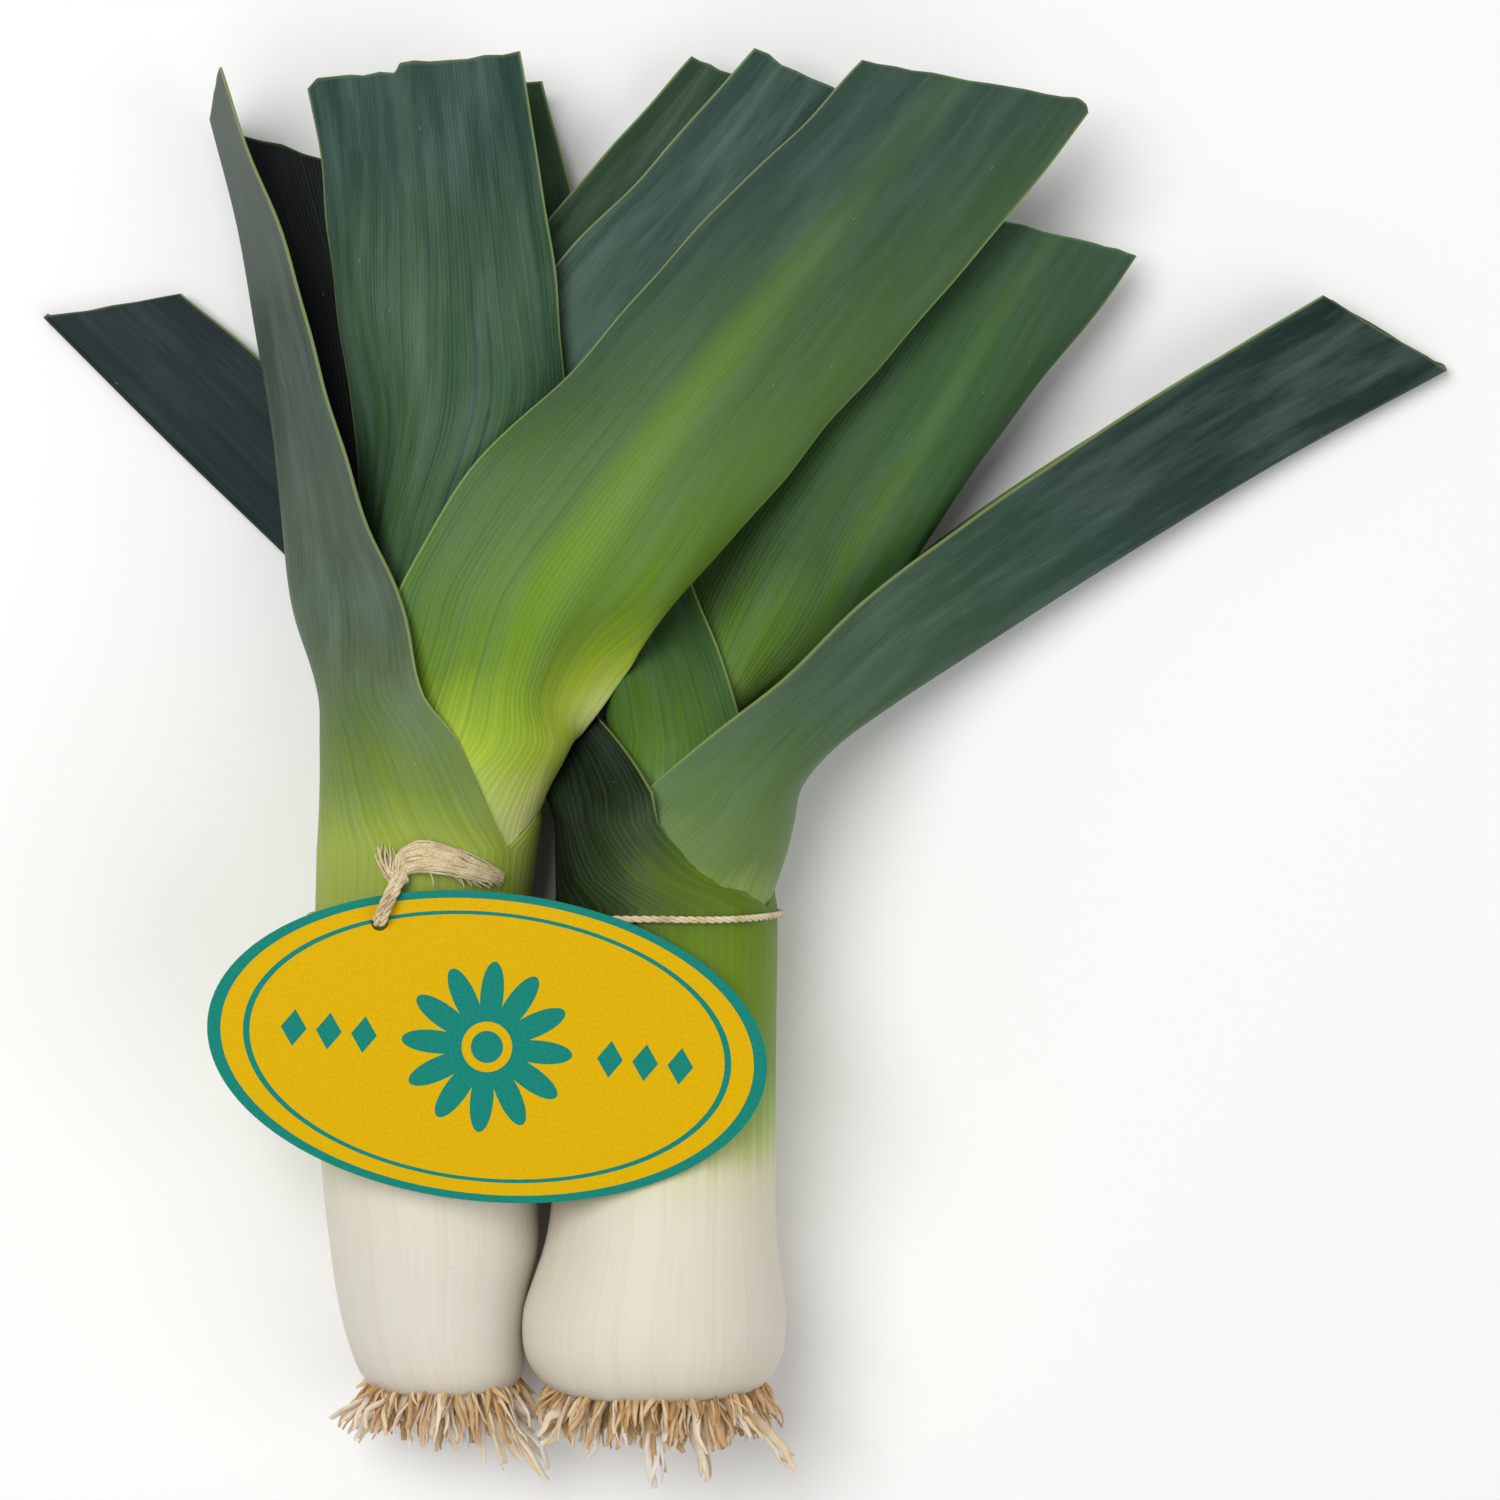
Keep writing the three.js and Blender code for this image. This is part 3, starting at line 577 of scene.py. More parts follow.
inner_leaves = {
    "left_leaf_2": dict(
        rings=[
            (-23.6, -66.2, 27.2, 20.4), (-14, -65, 28, 20.8), (-8, -63, 28.4, 21.2, 12, 40),
            (-3, -60.8, 28.6, 21.3, 30, 90), (4, -57.4, 28.8, 21.6, 55, 132),
        ],
        stations=[
            ((-42.5, 12.5, 44), (-73, 24, 43), (-33, 7.5, 29), 15),
            ((-36.5, 27, 47.5), (-69, 37, 45.3), (-26.5, 16, 31), 18),
            ((-25, 44, 50), (-55.8, 58, 46), (-20, 25, 37), 0),
            ((-10, 66, 49), (-37.4, 77, 43), (1, 51, 36), 0),
            ((16, 99, 45), (-9, 109, 38), (31, 85, 35), 0),
            ((46, 137, 38), (23, 142, 33), (71, 134, 30), 0),
        ],
        keel_angle=40, turn=1, seed=7,
        trim=((-1, -2.4), (-0.93, -1), (-0.8, 0), (1, 0)),
    ),
    "left_leaf_3": dict(
        rings=[
            (-13.6, -65.9, 28, 17.6), (-5, -65.6, 28.4, 17.4), (2, -65.4, 28.3, 17),
            (7, -65.4, 28.1, 16.4, 25), (13, -65.5, 28, 15.4, 45),
        ],
        stations=[
            ((-77, 29, 34), (-47, 32, 39.5), (-75, 25, 15), 14),
            ((-73, 47, 38), (-42, 53, 39), (-80, 44, 20), 14),
            ((-68, 69, 40), (-38, 74, 34), (-81, 67, 25), 20),
            ((-67, 93, 37), (-39, 97, 30), (-84, 92, 26), 0),
            ((-68, 118, 33), (-43, 121, 27), (-87, 116, 25), 0),
            ((-70, 141, 29), (-47, 145, 24), (-91, 139, 22), 0),
        ],
        keel_angle=170, turn=-1, seed=9,
        trim=((-1, -1.2), (-0.86, 0.8), (-0.5, 0.7), (-0.1, -0.6), (-0.05, 1.3), (0.2, 0.6), (1, 0)),
    ),
    "left_leaf_4": dict(
        rings=[
            (-4.6, -65.6, 28.4, 15.6), (3, -65.4, 28.2, 14.6), (9, -65.2, 27.9, 12.8),
            (14, -65.1, 27.4, 11.9, 30), (22, -64.8, 26.4, 11.4, 65),
        ],
        stations=[
            ((-46, 43, 33), (-67, 49, 30), (-45, 35, 24.5), 12),
            ((-32, 65, 31), (-55, 75, 26), (-25, 55, 25), 0),
            ((-14, 90, 28), (-40, 101, 23), (-3, 79, 22), 0),
            ((4, 114, 25), (-20, 123, 21), (18, 104, 18), 0),
            ((20, 137, 21), (1, 147, 17), (38, 131, 15), 0),
        ],
        keel_angle=30, turn=1, seed=13,
    ),
    "left_leaf_5": dict(
        rings=[
            (3.4, -65.3, 28.1, 12.5), (10, -65.1, 27.7, 10.3), (16, -65, 27, 9.3),
            (21, -64.8, 26.4, 9, 35), (27, -64.4, 26, 8.6, 70),
        ],
        stations=[
            ((-51, 47, 27.5), (-66, 56, 24), (-49, 40, 20.5), 0),
            ((-39, 72, 25), (-58, 83, 22), (-33, 63, 20), 0),
            ((-26, 94, 21.5), (-45, 107, 17.5), (-15, 86, 16), 0),
            ((-12, 117, 18.5), (-30, 126, 14), (1, 109, 14), 0),
            ((2, 140, 14.5), (-12, 146, 10.5), (19, 135, 10), 0),
        ],
        keel_angle=60, turn=1, seed=17,
    ),
    "right_leaf_2": dict(
        rings=[
            (-36.6, -17, 27, 20.4), (-30, -17, 27, 20.8), (-24, -15.9, 26.9, 21.6),
            (-18, -14.2, 26.8, 21.9, 25), (-12, -12.9, 26.6, 22, 50),
        ],
        stations=[
            ((10.6, -5, 27), (-20.5, -5.5, 46.3), (-17, -3, 8.2), 19.2),
            ((17.2, 3, 24), (-8, 5, 46.5), (-6, 10, 6), 14),
            ((26, 10, 17), (7, 17, 42), (10, 23, 4.5), 8),
            ((43, 21, 11), (24, 33, 35), (30, 39, 3.5), 5),
            ((73, 40, 7), (53, 55, 26), (57, 59, 2.5), 4),
            ((111, 63, 4), (91, 80, 17), (93, 81, 1), 3.5),
            ((146, 82, 2.9), (119, 97, 10), (122, 97, 0), 3),
        ],
        keel_angle=0, turn=1, wave=0.3, seed=19,
    ),
    "right_leaf_3": dict(
        rings=[
            (-28.6, -17, 27, 17.4), (-20, -16.8, 27, 16.9), (-12, -16.5, 26.7, 16.3),
            (-6, -15.6, 26.2, 16.2, 15), (0, -14.2, 25, 16.4, 26), (5, -12.4, 24.4, 16.4, 36),
        ],
        stations=[
            ((-34, 20, 17.5), (-6, 22, 31), (-23, 15, 6), 13),
            ((-43, 36, 14), (-12, 37, 25), (-33, 32, 7), 10),
            ((-50, 62, 15), (-21, 66, 15), (-67, 59, 9), 0),
            ((-56, 89, 13), (-30, 93, 11), (-76, 87, 8), 0),
            ((-60, 116, 12), (-37, 118, 9), (-81, 115, 8), 0),
            ((-64, 140, 11), (-43, 142, 7.5), (-84, 139, 7.5), 0),
        ],
        keel_angle=190, turn=-1, seed=23,
    ),
    "right_leaf_4": dict(
        rings=[
            (-19.6, -16.8, 27, 14.9), (-10, -16.4, 26.5, 13.7), (-3, -16, 25.7, 12.4),
            (3, -15, 24.5, 11.7, 30), (9, -13.6, 23.2, 11.2, 55),
        ],
        stations=[
            ((11, 24, 25), (-19, 31, 15), (2, 15, 12), 11),
            ((22, 45, 27), (-7, 53, 20), (23, 30, 16), 0),
            ((37, 68, 27), (9, 76, 23), (41, 53, 17), 0),
            ((51, 92, 24), (25, 99, 20), (62, 81, 15), 0),
            ((62, 109, 20), (36, 115, 16), (80, 105, 11), 0),
        ],
        keel_angle=20, turn=1, seed=29,
    ),
}
inner_skins = {
    "left_leaf_2": dict(
        outside={
            -24: "#E6EBAE", -6: "#D6E07E", 3: "#BCCE46", 13: "#A2B92E", 22: "#86A220",
            33: "#6A8A1A", 47: "#618326", 66: "#577834", 90: "#4B6A34", 122: "#3F5838",
            150: "#364C3E", 180: "#32473E",
        },
        inside={-24: "#D6E09A", 20: "#A8C048", 75: "#56783C", 190: "#2E4A44"},
        midrib=0.5, midrib_colour="#789C2A", midrib_at=0.55, midrib_reach=0.85,
        # lean darkens the half of the blade that lies along left_outer_leaf's margin: partly its own
        # darker green, partly painted shade from that leaf.
        bloom=0.14, streak=0.3, lean=42.0,
    ),
    "left_leaf_3": dict(
        outside={
            -14: "#B9CC78", 30: "#42602E", 72: "#3C5A38", 96: "#3E5A3E", 121: "#31493A",
            150: "#2C423C",
        },
        inside={-14: "#C6D68A", 40: "#4C6E48", 160: "#263E42"},
        midrib=0.2, midrib_colour="#5A7A34", bloom=0.24, streak=0.75,
    ),
    "left_leaf_4": dict(
        outside={-5: "#B9CC78", 40: "#4E6C40", 80: "#3E5A44", 120: "#384E44", 165: "#2E443C"},
        inside={-5: "#C6D68A", 40: "#4C6E48", 165: "#2C464A"},
        bloom=0.3, streak=0.35,
    ),
    "left_leaf_5": dict(
        outside={3: "#C2D482", 45: "#3E5C2A", 90: "#2E452A", 165: "#2A3D2A"},
        inside={3: "#C6D68A", 45: "#4C6E48", 165: "#2C464A"},
        bloom=0.2, streak=0.4,
    ),
    "right_leaf_2": dict(
        outside={
            -37: "#A9BC60", -20: "#647E3E", 0: "#54703E", 20: "#455E42", 60: "#344C3C",
            110: "#20332F", 180: "#16261F",
        },
        inside={-37: "#C6D68A", 0: "#5A7C44", 180: "#223838"},
        bloom=0.25, streak=0.3,
    ),
    "right_leaf_3": dict(
        outside={-29: "#C2D482", 0: "#567A22", 24: "#34541C", 60: "#2C4824", 170: "#293B28"},
        inside={-29: "#C6D68A", 30: "#4C7038", 170: "#2E4A3C"},
        bloom=0.15, streak=0.4,
    ),
    "right_leaf_4": dict(
        outside={
            -20: "#C2D482", 20: "#5E8026", 45: "#3A5A22", 80: "#385A2C", 110: "#3C5A38",
            140: "#3A5440",
        },
        inside={-20: "#C6D68A", 55: "#4C7038", 140: "#2E4A3C"},
        midrib=0.3, midrib_colour="#668A2A", midrib_reach=0.5, bloom=0.14, streak=0.35,
    ),
}
for node, leaf in inner_leaves.items():
    piece = leek_leaf(node + "_skin", **leaf)
    skin_name = "waxy leek skin, " + node.replace("_", " ")
    piece.data.materials.append(leek_skin(skin_name, **inner_skins[node]))
    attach(piece, "root")
    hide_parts(node)

# --------------------
# Roots. A leek's roots grow from a woody plate under the bulb. Here they are washed, dried to straw
# and trimmed: flat, crinkled rootlets, most of them about a centimetre long.
# --------------------


def strand_tree(name, labels):
    """The start of a Geometry Nodes tree that makes strands of guide lines, with its named sizes."""
    tree = bpy.data.node_groups.new(name, "GeometryNodeTree")
    for way in ("INPUT", "OUTPUT"):
        tree.interface.new_socket("Geometry", in_out=way, socket_type="NodeSocketGeometry")
    names = {}
    for label in labels:
        socket = tree.interface.new_socket(label, in_out="INPUT", socket_type="NodeSocketFloat")
        names[label] = socket.identifier
    put = pen(tree)
    given = put("NodeGroupInput")
    return tree, put, names, given, put("GeometryNodeMeshToCurve", [given])


def close_tree(put, strands, material):
    """The tree's end: real geometry with its material."""
    real = put("GeometryNodeRealizeInstances", [strands])
    done = put("GeometryNodeSetMaterial", {"Geometry": real, "Material": material})
    put("NodeGroupOutput", [done])


def rootlet_tree(material):
    """Guide lines become flat tapered strands that crinkle along their way."""
    sizes = ("Crinkle", "Crinkle length", "Flatness", "Seed")
    tree, put, names, given, curve = strand_tree("trimmed rootlets", sizes)
    curve = put("GeometryNodeResampleCurve", {"Curve": curve, "Count": 15})
    out = put("GeometryNodeSplineParameter").outputs["Factor"]
    here = put("GeometryNodeInputPosition")
    scale = put("DIVIDE", [1.0, given.outputs["Crinkle length"]])
    crinkles = {"Vector": here, "W": given.outputs["Seed"], "Scale": scale, "Detail": 2.0}
    noise = put("TexNoise", crinkles, noise_dimensions="4D").outputs["Color"]
    centred = put("VectorMath", [noise, (0.5, 0.5, 0.5)], operation="SUBTRACT")
    swing = put("MULTIPLY", [out, given.outputs["Crinkle"]])
    offset = put("VectorMath", {0: centred, "Scale": swing}, operation="SCALE")
    moved = put("GeometryNodeSetPosition", {"Geometry": curve, "Offset": offset})
    girth = put("GeometryNodeInputNamedAttribute", {"Name": "girth"}, data_type="FLOAT")
    girth = girth.outputs["Attribute"]
    taper = put("POWER", [out, 2.2])
    taper = put("MULTIPLY_ADD", [taper, -0.6, 1.0])
    radius = put("MULTIPLY", [girth, taper])
    tilt = put("MULTIPLY_ADD", [girth, 9000.0, out])
    tilted = put("GeometryNodeSetCurveTilt", {"Curve": moved, "Tilt": tilt})
    along = {"Geometry": tilted, "Name": "along", "Value": out}
    marked = put("GeometryNodeStoreNamedAttribute", along, data_type="FLOAT", domain="POINT")
    section = put("GeometryNodeCurvePrimitiveCircle", {"Resolution": 7, "Radius": 1.0})
    flat = put("CombineXYZ", {"X": 1.0, "Y": given.outputs["Flatness"], "Z": 1.0})
    section = put("GeometryNodeTransform", {"Geometry": section, "Scale": flat})
    swept = {"Curve": marked, "Profile Curve": section, "Scale": radius, "Fill Caps": True}
    body = put("GeometryNodeCurveToMesh", swept)
    close_tree(put, body, material)
    return tree, names


def grown(name, lines, girths, tones, group, values):
    """Runs a tree, given with its inputs' identifiers, on guide lines and keeps the mesh it makes."""
    tree, names = group
    points = np.concatenate(lines) * MM
    starts = np.cumsum([0] + [len(line) for line in lines])
    edges = [(k, k + 1) for a, b in zip(starts, starts[1:]) for k in range(a, b - 1)]
    guide = bpy.data.meshes.new(name)
    guide.from_pydata(points.tolist(), edges, [])
    for key, each in (("girth", np.array(girths) * MM), ("tone", np.array(tones))):
        layer = guide.attributes.new(key, "FLOAT", "POINT")
        layer.data.foreach_set("value", np.repeat(each, np.diff(starts)).astype(np.float32))
    piece = placed(name, guide)
    modifier = piece.modifiers.new("strands", "NODES")
    modifier.node_group = tree
    for label, value in values.items():
        modifier[names[label]] = value
    bpy.context.view_layer.update()
    evaluated = piece.evaluated_get(bpy.context.evaluated_depsgraph_get())
    mesh = bpy.data.meshes.new_from_object(evaluated)
    piece.modifiers.remove(modifier)
    piece.data = mesh
    smooth(mesh)
    return piece


# Dried root: straw coloured, browner in the tuft's depth, paler and greyer at its tips
dry_root, put = bare_material("dried leek root")
tone = put("Attribute", attribute_name="tone").outputs["Fac"]
along = put("Attribute", attribute_name="along").outputs["Fac"]
place = put("TexCoord").outputs["Object"]
blotch = put("TexNoise", {"Vector": place, "Scale": 320.0, "Detail": 4.0})
mixed = put("MULTIPLY_ADD", [blotch, 0.5, tone])
mixed = put("SUBTRACT", [mixed, 0.25])
straw = put("ValToRGB", [mixed], [
    (0.0, "#A8824E"), (0.3, "#C8A374"), (0.6, "#DEC5A0"), (0.85, "#EADDCA"), (1.0, "#DEDADF"),
])
at_foot = put("MapRange", [along, 0.0, 0.35, 0.35, 0.0])
browned = put("Mix", {0: at_foot, 6: straw, 7: "#A07A50"})
fibre = put("TexNoise", {"Vector": place, "Scale": 1400.0, "Detail": 2.0})
bump = put("Bump", {"Strength": 0.6, "Distance": 0.0002, "Height": fibre})
root_skin = put("BsdfPrincipled", {
    "Base Color": browned, "Roughness": 0.8, "IOR": 1.45, "Normal": bump,
})
put("OutputMaterial", {"Surface": root_skin})

PLATE_SIDES = 64
PLATE_BACK = 1.6
PLATE_RIMS = ((0.0, 0.80), (-0.8, 0.98), (-1.8, 0.95), (-2.6, 0.7), (-3.0, 0.35))  # level, width
STRANDS_IN_STRAY = 4
REACH = (7.5, 13.5)  # of the rootlets below the plate
STRAY_FOOT = 0.85  # where strays start, as a share of the plate's radius

rootlets = rootlet_tree(dry_root)
tufts = {
    # Place and radius of the plate and of the bulb's foot, how many rootlets, how far they spread,
    # and the tips, as x and y, of the longest strays
    "left_roots": dict(
        x=-62.6, z=20.6, top=-127.2, radius=13.4, foot=15.4, count=240, spread=8, seed=41,
        strays=[
            (-43.2, -135.2), (-41.5, -146.4), (-49.7, -144.6), (-58.1, -139.9), (-83.6, -135.8),
            (-81.2, -139.3),
        ],
    ),
    "right_roots": dict(
        x=-18.6, z=26.4, top=-127.0, radius=19.0, foot=21.8, count=340, spread=6.5, seed=43,
        strays=[
            (9.0, -143.4), (-18.9, -146.2), (-9.4, -145.6), (-10.5, -138.7), (-33.0, -140.5),
            (-42.5, -139.0), (-7.0, -137.4), (0.6, -133.5),
        ],
    ),
}
for node, tuft in tufts.items():
    random = np.random.default_rng(tuft["seed"])
    lines, girths, tones = [], [], []
    x, z, top, radius = tuft["x"], tuft["z"], tuft["top"], tuft["radius"]
    steps = np.linspace(0, 1, 9)[:, None]
    arch, wiggle = np.sin(np.pi * steps), np.sin(2 * np.pi * steps)
    for n in range(tuft["count"]):
        angle = random.uniform(0, 2 * math.pi)
        out = math.sqrt(random.uniform(0.02, 1))
        spoke = np.array([math.cos(angle), 0.0, math.sin(angle)])
        start = np.array([x + radius * out * spoke[0], top + 1.5, z + radius * out * spoke[2]])
        reach = random.uniform(*REACH) * (1.05 - 0.25 * out)
        swing = tuft["spread"] * out * random.uniform(0.2, 1.3)
        sideways = spoke[0] * swing + random.normal(0, 1.6)
        end = start + [sideways, -reach - 1.5, spoke[2] * swing * 0.7 - random.uniform(0, 2.5)]
        hump = spoke * random.uniform(0.2, 1.6) * out
        line = start + (end - start) * steps + hump * arch + random.normal(0, 0.35, (1, 3)) * wiggle
        line[:, 2] = np.maximum(line[:, 2], 0.8)
        lines.append(line)
        girths.append(random.uniform(0.55, 1.15) * (1.4 if random.random() < 0.25 else 1))
        tones.append(random.uniform(0.15, 0.85))
    for tip_x, tip_y in tuft["strays"]:
        for n in range(STRANDS_IN_STRAY):
            angle = math.atan2(0.8, (tip_x - x) / radius * 0.9) + random.normal(0, 0.16)
            foot_x, foot_z = radius * STRAY_FOOT * math.cos(angle), radius * 0.8 * math.sin(angle)
            start = np.array([x + foot_x, top + 1.0, z + foot_z])
            end = np.array([tip_x, tip_y, max(2.0, start[2] - random.uniform(2, 7))])
            end += min(n, 2) * random.normal([0, 0.8, 0], [0.9, 0.6, 0.4])
            line = start + (end - start) * steps + [0, 0, 1.2] * arch
            lines.append(line + random.normal(0, 0.8, (1, 3)) * wiggle)
            girths.append(random.uniform(0.9, 1.7))
            tones.append(random.uniform(0.6, 1.0))
    # Torn short ones stand round the foot's rim
    for n in range(tuft["count"] // 3):
        angle = random.uniform(0, 2 * math.pi)
        spoke = np.array([math.cos(angle), 0, math.sin(angle)])
        start = np.array([x, top + random.uniform(-0.6, 0.8), z]) + spoke * (tuft["foot"] - 0.3)
        end = start + spoke * random.uniform(0.3, 3)
        end += [random.normal(0, 1.2), -random.uniform(2, 6), 0]
        lines.append(start + (end - start) * steps + spoke * random.uniform(0.2, 0.8) * arch)
        girths.append(random.uniform(0.3, 0.7))
        tones.append(random.uniform(0.0, 0.6))
    sizes = {"Crinkle": 0.0034, "Crinkle length": 0.006, "Flatness": 0.34}
    sizes["Seed"] = float(tuft["seed"])
    piece = grown(node + "_rootlets", lines, girths, tones, rootlets, sizes)

    # The plate itself: a rough shallow dome, with a closed back inside the bulb
    turns = np.linspace(0, 2 * math.pi, PLATE_SIDES, endpoint=False)
    dome = []
    for drop, size in PLATE_RIMS:
        rim = radius * size * (1 + random.normal(0, 0.02, PLATE_SIDES))
        dome.append(around(x, z, rim, turns, top + PLATE_BACK + drop))
    points = np.concatenate(dome + [[[x, top + PLATE_BACK, z]], [[x, top - 1.5, z]]])
    faces = []
    last_ring = len(points) - 2 - PLATE_SIDES
    for k in range(PLATE_SIDES):
        m = (k + 1) % PLATE_SIDES
        for r in range(0, last_ring, PLATE_SIDES):
            faces.append([r + k, r + m, r + PLATE_SIDES + m, r + PLATE_SIDES + k])
        faces.append([len(points) - 2, m, k])
        faces.append([len(points) - 1, last_ring + k, last_ring + m])
    plate_mesh = bpy.data.meshes.new(node + "_plate")
    plate_mesh.from_pydata((points * MM).tolist(), [], faces)
    plate_mesh.materials.append(dry_root)
    smooth(plate_mesh)
    plate = placed(node + "_plate", plate_mesh)
    for part in (piece, plate):
        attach(part, "root")
    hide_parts(node)

# --------------------
# Twine. A thin three-ply natural twine runs once round both shanks, pulled tight.
# --------------------

TWINE = 1.4
TWINE_GAP = 0.35
TWINE_Y = -31
PLY_TURN = 2.0944  # a third of a turn
PLY_RADIUS = 0.27  # of the twine's thickness
BELT_POINTS = 60  # round each shank


def twine_tree(material):
    """A guide line becomes plies that wind round each other."""
    tree, put, names, given, curve = strand_tree("laid twine", ("Thickness", "Lay"))
    curve = put("GeometryNodeResampleCurve", {"Curve": curve, "Length": 0.0006}, mode="LENGTH")
    steady = put("GeometryNodeSetCurveNormal", {"Curve": curve})
    way = put("GeometryNodeSplineParameter").outputs["Length"]
    turn = put("DIVIDE", [way, given.outputs["Lay"]])
    turn = put("MULTIPLY", [turn, 2 * math.pi])
    wound = put("GeometryNodeSetCurveTilt", {"Curve": steady, "Tilt": turn})
    along = {"Geometry": wound, "Name": "along", "Value": way}
    marked = put("GeometryNodeStoreNamedAttribute", along, data_type="FLOAT", domain="POINT")
    plies = put("GeometryNodeJoinGeometry")
    ply_radius = put("MULTIPLY", [given.outputs["Thickness"], PLY_RADIUS])
    for k in range(3):
        ring = put("GeometryNodeCurvePrimitiveCircle", {"Resolution": 8, "Radius": ply_radius})
        aside = (math.cos(k * PLY_TURN), math.sin(k * PLY_TURN), 0)
        reach = put("VectorMath", {0: aside, "Scale": ply_radius}, operation="SCALE")
        moved = put("GeometryNodeTransform", {"Geometry": ring, "Translation": reach})
        tree.links.new(moved.outputs[0], plies.inputs[0])
    swept = {"Curve": marked, "Profile Curve": plies, "Fill Caps": True}
    body = put("GeometryNodeCurveToMesh", swept)
    close_tree(put, body, material)
    return tree, names


# Raw hemp twine: matt, beige, with darker fibres laid along the plies
hemp, put = bare_material("raw hemp twine")
place = put("TexCoord").outputs["Object"]
blotch = put("TexNoise", {"Vector": place, "Scale": 260.0, "Detail": 5.0})
fibre = put("TexNoise", {"Vector": place, "Scale": 2600.0, "Detail": 3.0})
mixed = put("MULTIPLY", [blotch, fibre])
beige = put("ValToRGB", [mixed], [(0.12, "#B29D74"), (0.24, "#D3C197"), (0.4, "#E7DAB8")])
bump = put("Bump", {"Strength": 0.7, "Distance": 0.0001, "Height": fibre})
hemp_skin = put("BsdfPrincipled", {
    "Base Color": beige, "Roughness": 0.9, "IOR": 1.5, "Sheen Weight": 0.3, "Normal": bump,
})
put("OutputMaterial", {"Surface": hemp_skin})

laid_twine = twine_tree(hemp)
clear = TWINE_GAP + TWINE / 2
left = (-66.5, 26.5, 22.0 + clear)  # x, z and the radius round the left shank
right = (-17.0, 27.0, 22.6 + clear)
lean = math.asin((right[2] - left[2]) / (right[0] - left[0]))
round_left = np.linspace(math.pi / 2 + lean, 1.5 * math.pi - lean, BELT_POINTS)
round_right = np.linspace(-math.pi / 2 - lean, math.pi / 2 + lean, BELT_POINTS)
belt = np.concatenate([around(*left, round_left, TWINE_Y), around(*right, round_right, TWINE_Y)])
belt = np.concatenate([belt, belt[:1]])
belt[:, 1] += 0.25 * np.sin(np.linspace(0, 6 * math.pi, len(belt)))
loop_sizes = {"Thickness": TWINE * MM, "Lay": 0.0055}
loop = grown("twine_loop_plies", [belt], [1.0], [0.5], laid_twine, loop_sizes)
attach(loop, "root")
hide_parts("twine_loop")

# --------------------
# Knot and tassel. The doubled end of the twine comes up through the tag's hole, is knotted on the
# left leek, and its cut end has frayed into a brush of long fibres with some loose wisps.
# --------------------

KNOT = np.array([-69.3, -22.8, 51.2])
TAG_HOLE = (-73.3, -31.6)
THROAT_X, THROAT_Z, THROAT_RADIUS = -66.0, 27.8, 22.3  # of the left leek, under the tassel
FIBRES = 190
STRING = 1.6
KNOTTED = 1.0

doubled = []
for side in (-0.75, 0.75):
    line = np.array([
        (TAG_HOLE[0] + 0.4 * side, TAG_HOLE[1] + 0.3, 49.7),
        (TAG_HOLE[0] + 0.5 * side, TAG_HOLE[1] - 0.2, 52.4),
        (TAG_HOLE[0] + 0.2 + side, TAG_HOLE[1] + 0.6, 53.7),
        (KNOT[0] - 2.4 + side * 0.9, KNOT[1] - 5.0, 54.1),
        (KNOT[0] - 1.2 + side, KNOT[1] - 2.4, 53.4),
        (KNOT[0] + side * 0.8, KNOT[1] + 0.2, 51.8),
    ])
    t = np.linspace(0, 5, 40)
    doubled.append(np.stack([np.interp(t, np.arange(6), line[:, k]) for k in range(3)], axis=1))
string_sizes = {"Thickness": STRING * MM, "Lay": 0.006}
end_plies = grown("tag_string_plies", doubled, [1, 1], [1, 1], laid_twine, string_sizes)

turns = np.linspace(0, 4.4 * math.pi, 90)
wrap = np.stack([
    KNOT[0] + 1.3 * np.cos(turns) * (1 + 0.12 * np.sin(turns * 0.7)),
    KNOT[1] + 0.9 * np.sin(turns * 0.5) + 0.5 * np.cos(turns * 0.31),
    KNOT[2] + 0.9 * np.sin(turns) + 0.2,
], axis=1)
knot_sizes = {"Thickness": KNOTTED * MM, "Lay": 0.0045}
knot_plies = grown("knot_plies", [wrap], [1], [1], laid_twine, knot_sizes)

random = np.random.default_rng(61)
fibres, girths = [], []
steps = np.linspace(0, 1, 14)[:, None]
for n in range(FIBRES):
    start = np.array([-0.8, -1.2]) + random.normal(0, 0.35, 2)
    if n % 7 == 0:  # a loose wisp, pointing up and to the left
        end = start + [random.uniform(-4.5, 3.0), random.uniform(3.5, 8.0)]
        bends = [start + (end - start) * way + random.normal(0, 0.8, 2) for way in (0.3, 0.7)]
    else:  # a fibre that arches over to the tip on the right
        outer_share = random.uniform(0, 1) ** 0.8
        end = np.array([20.3 - random.exponential(2.2), -0.6 + random.normal(0, 0.7)])
        bends = [
            np.array([0.4, 3.2]) + outer_share * np.array([-3.0, 6.8]) + random.normal(0, 0.6, 2),
            np.array([7.5, 2.4]) + outer_share * np.array([1.5, 6.0]) + random.normal(0, 0.7, 2),
        ]
    left = 1 - steps
    middle = 3 * bends[0] * steps * left**2 + 3 * bends[1] * steps**2 * left
    flat = start * left**3 + middle + end * steps**3
    line = np.column_stack([KNOT[0] + flat[:, 0], KNOT[1] + flat[:, 1], np.zeros(len(steps))])
    dome = THROAT_Z + np.sqrt(THROAT_RADIUS**2 - (line[:, 0] - THROAT_X) ** 2)
    lift = random.uniform(0.4, 2.6) * np.sin(np.pi * steps[:, 0]) ** 0.8
    line[:, 2] = np.maximum(dome + 0.5 + lift, KNOT[2] - 30 * steps[:, 0])
    fibres.append(line)
    girths.append(random.uniform(0.16, 0.42))
fibre_sizes = {"Crinkle": 0.0014, "Crinkle length": 0.005, "Flatness": 0.5, "Seed": 3.0}
raw_fibre = rootlet_tree(hemp)
tassel = grown("frayed_end_fibres", fibres, girths, [1] * FIBRES, raw_fibre, fibre_sizes)
for part in (end_plies, knot_plies, tassel):
    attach(part, "root")
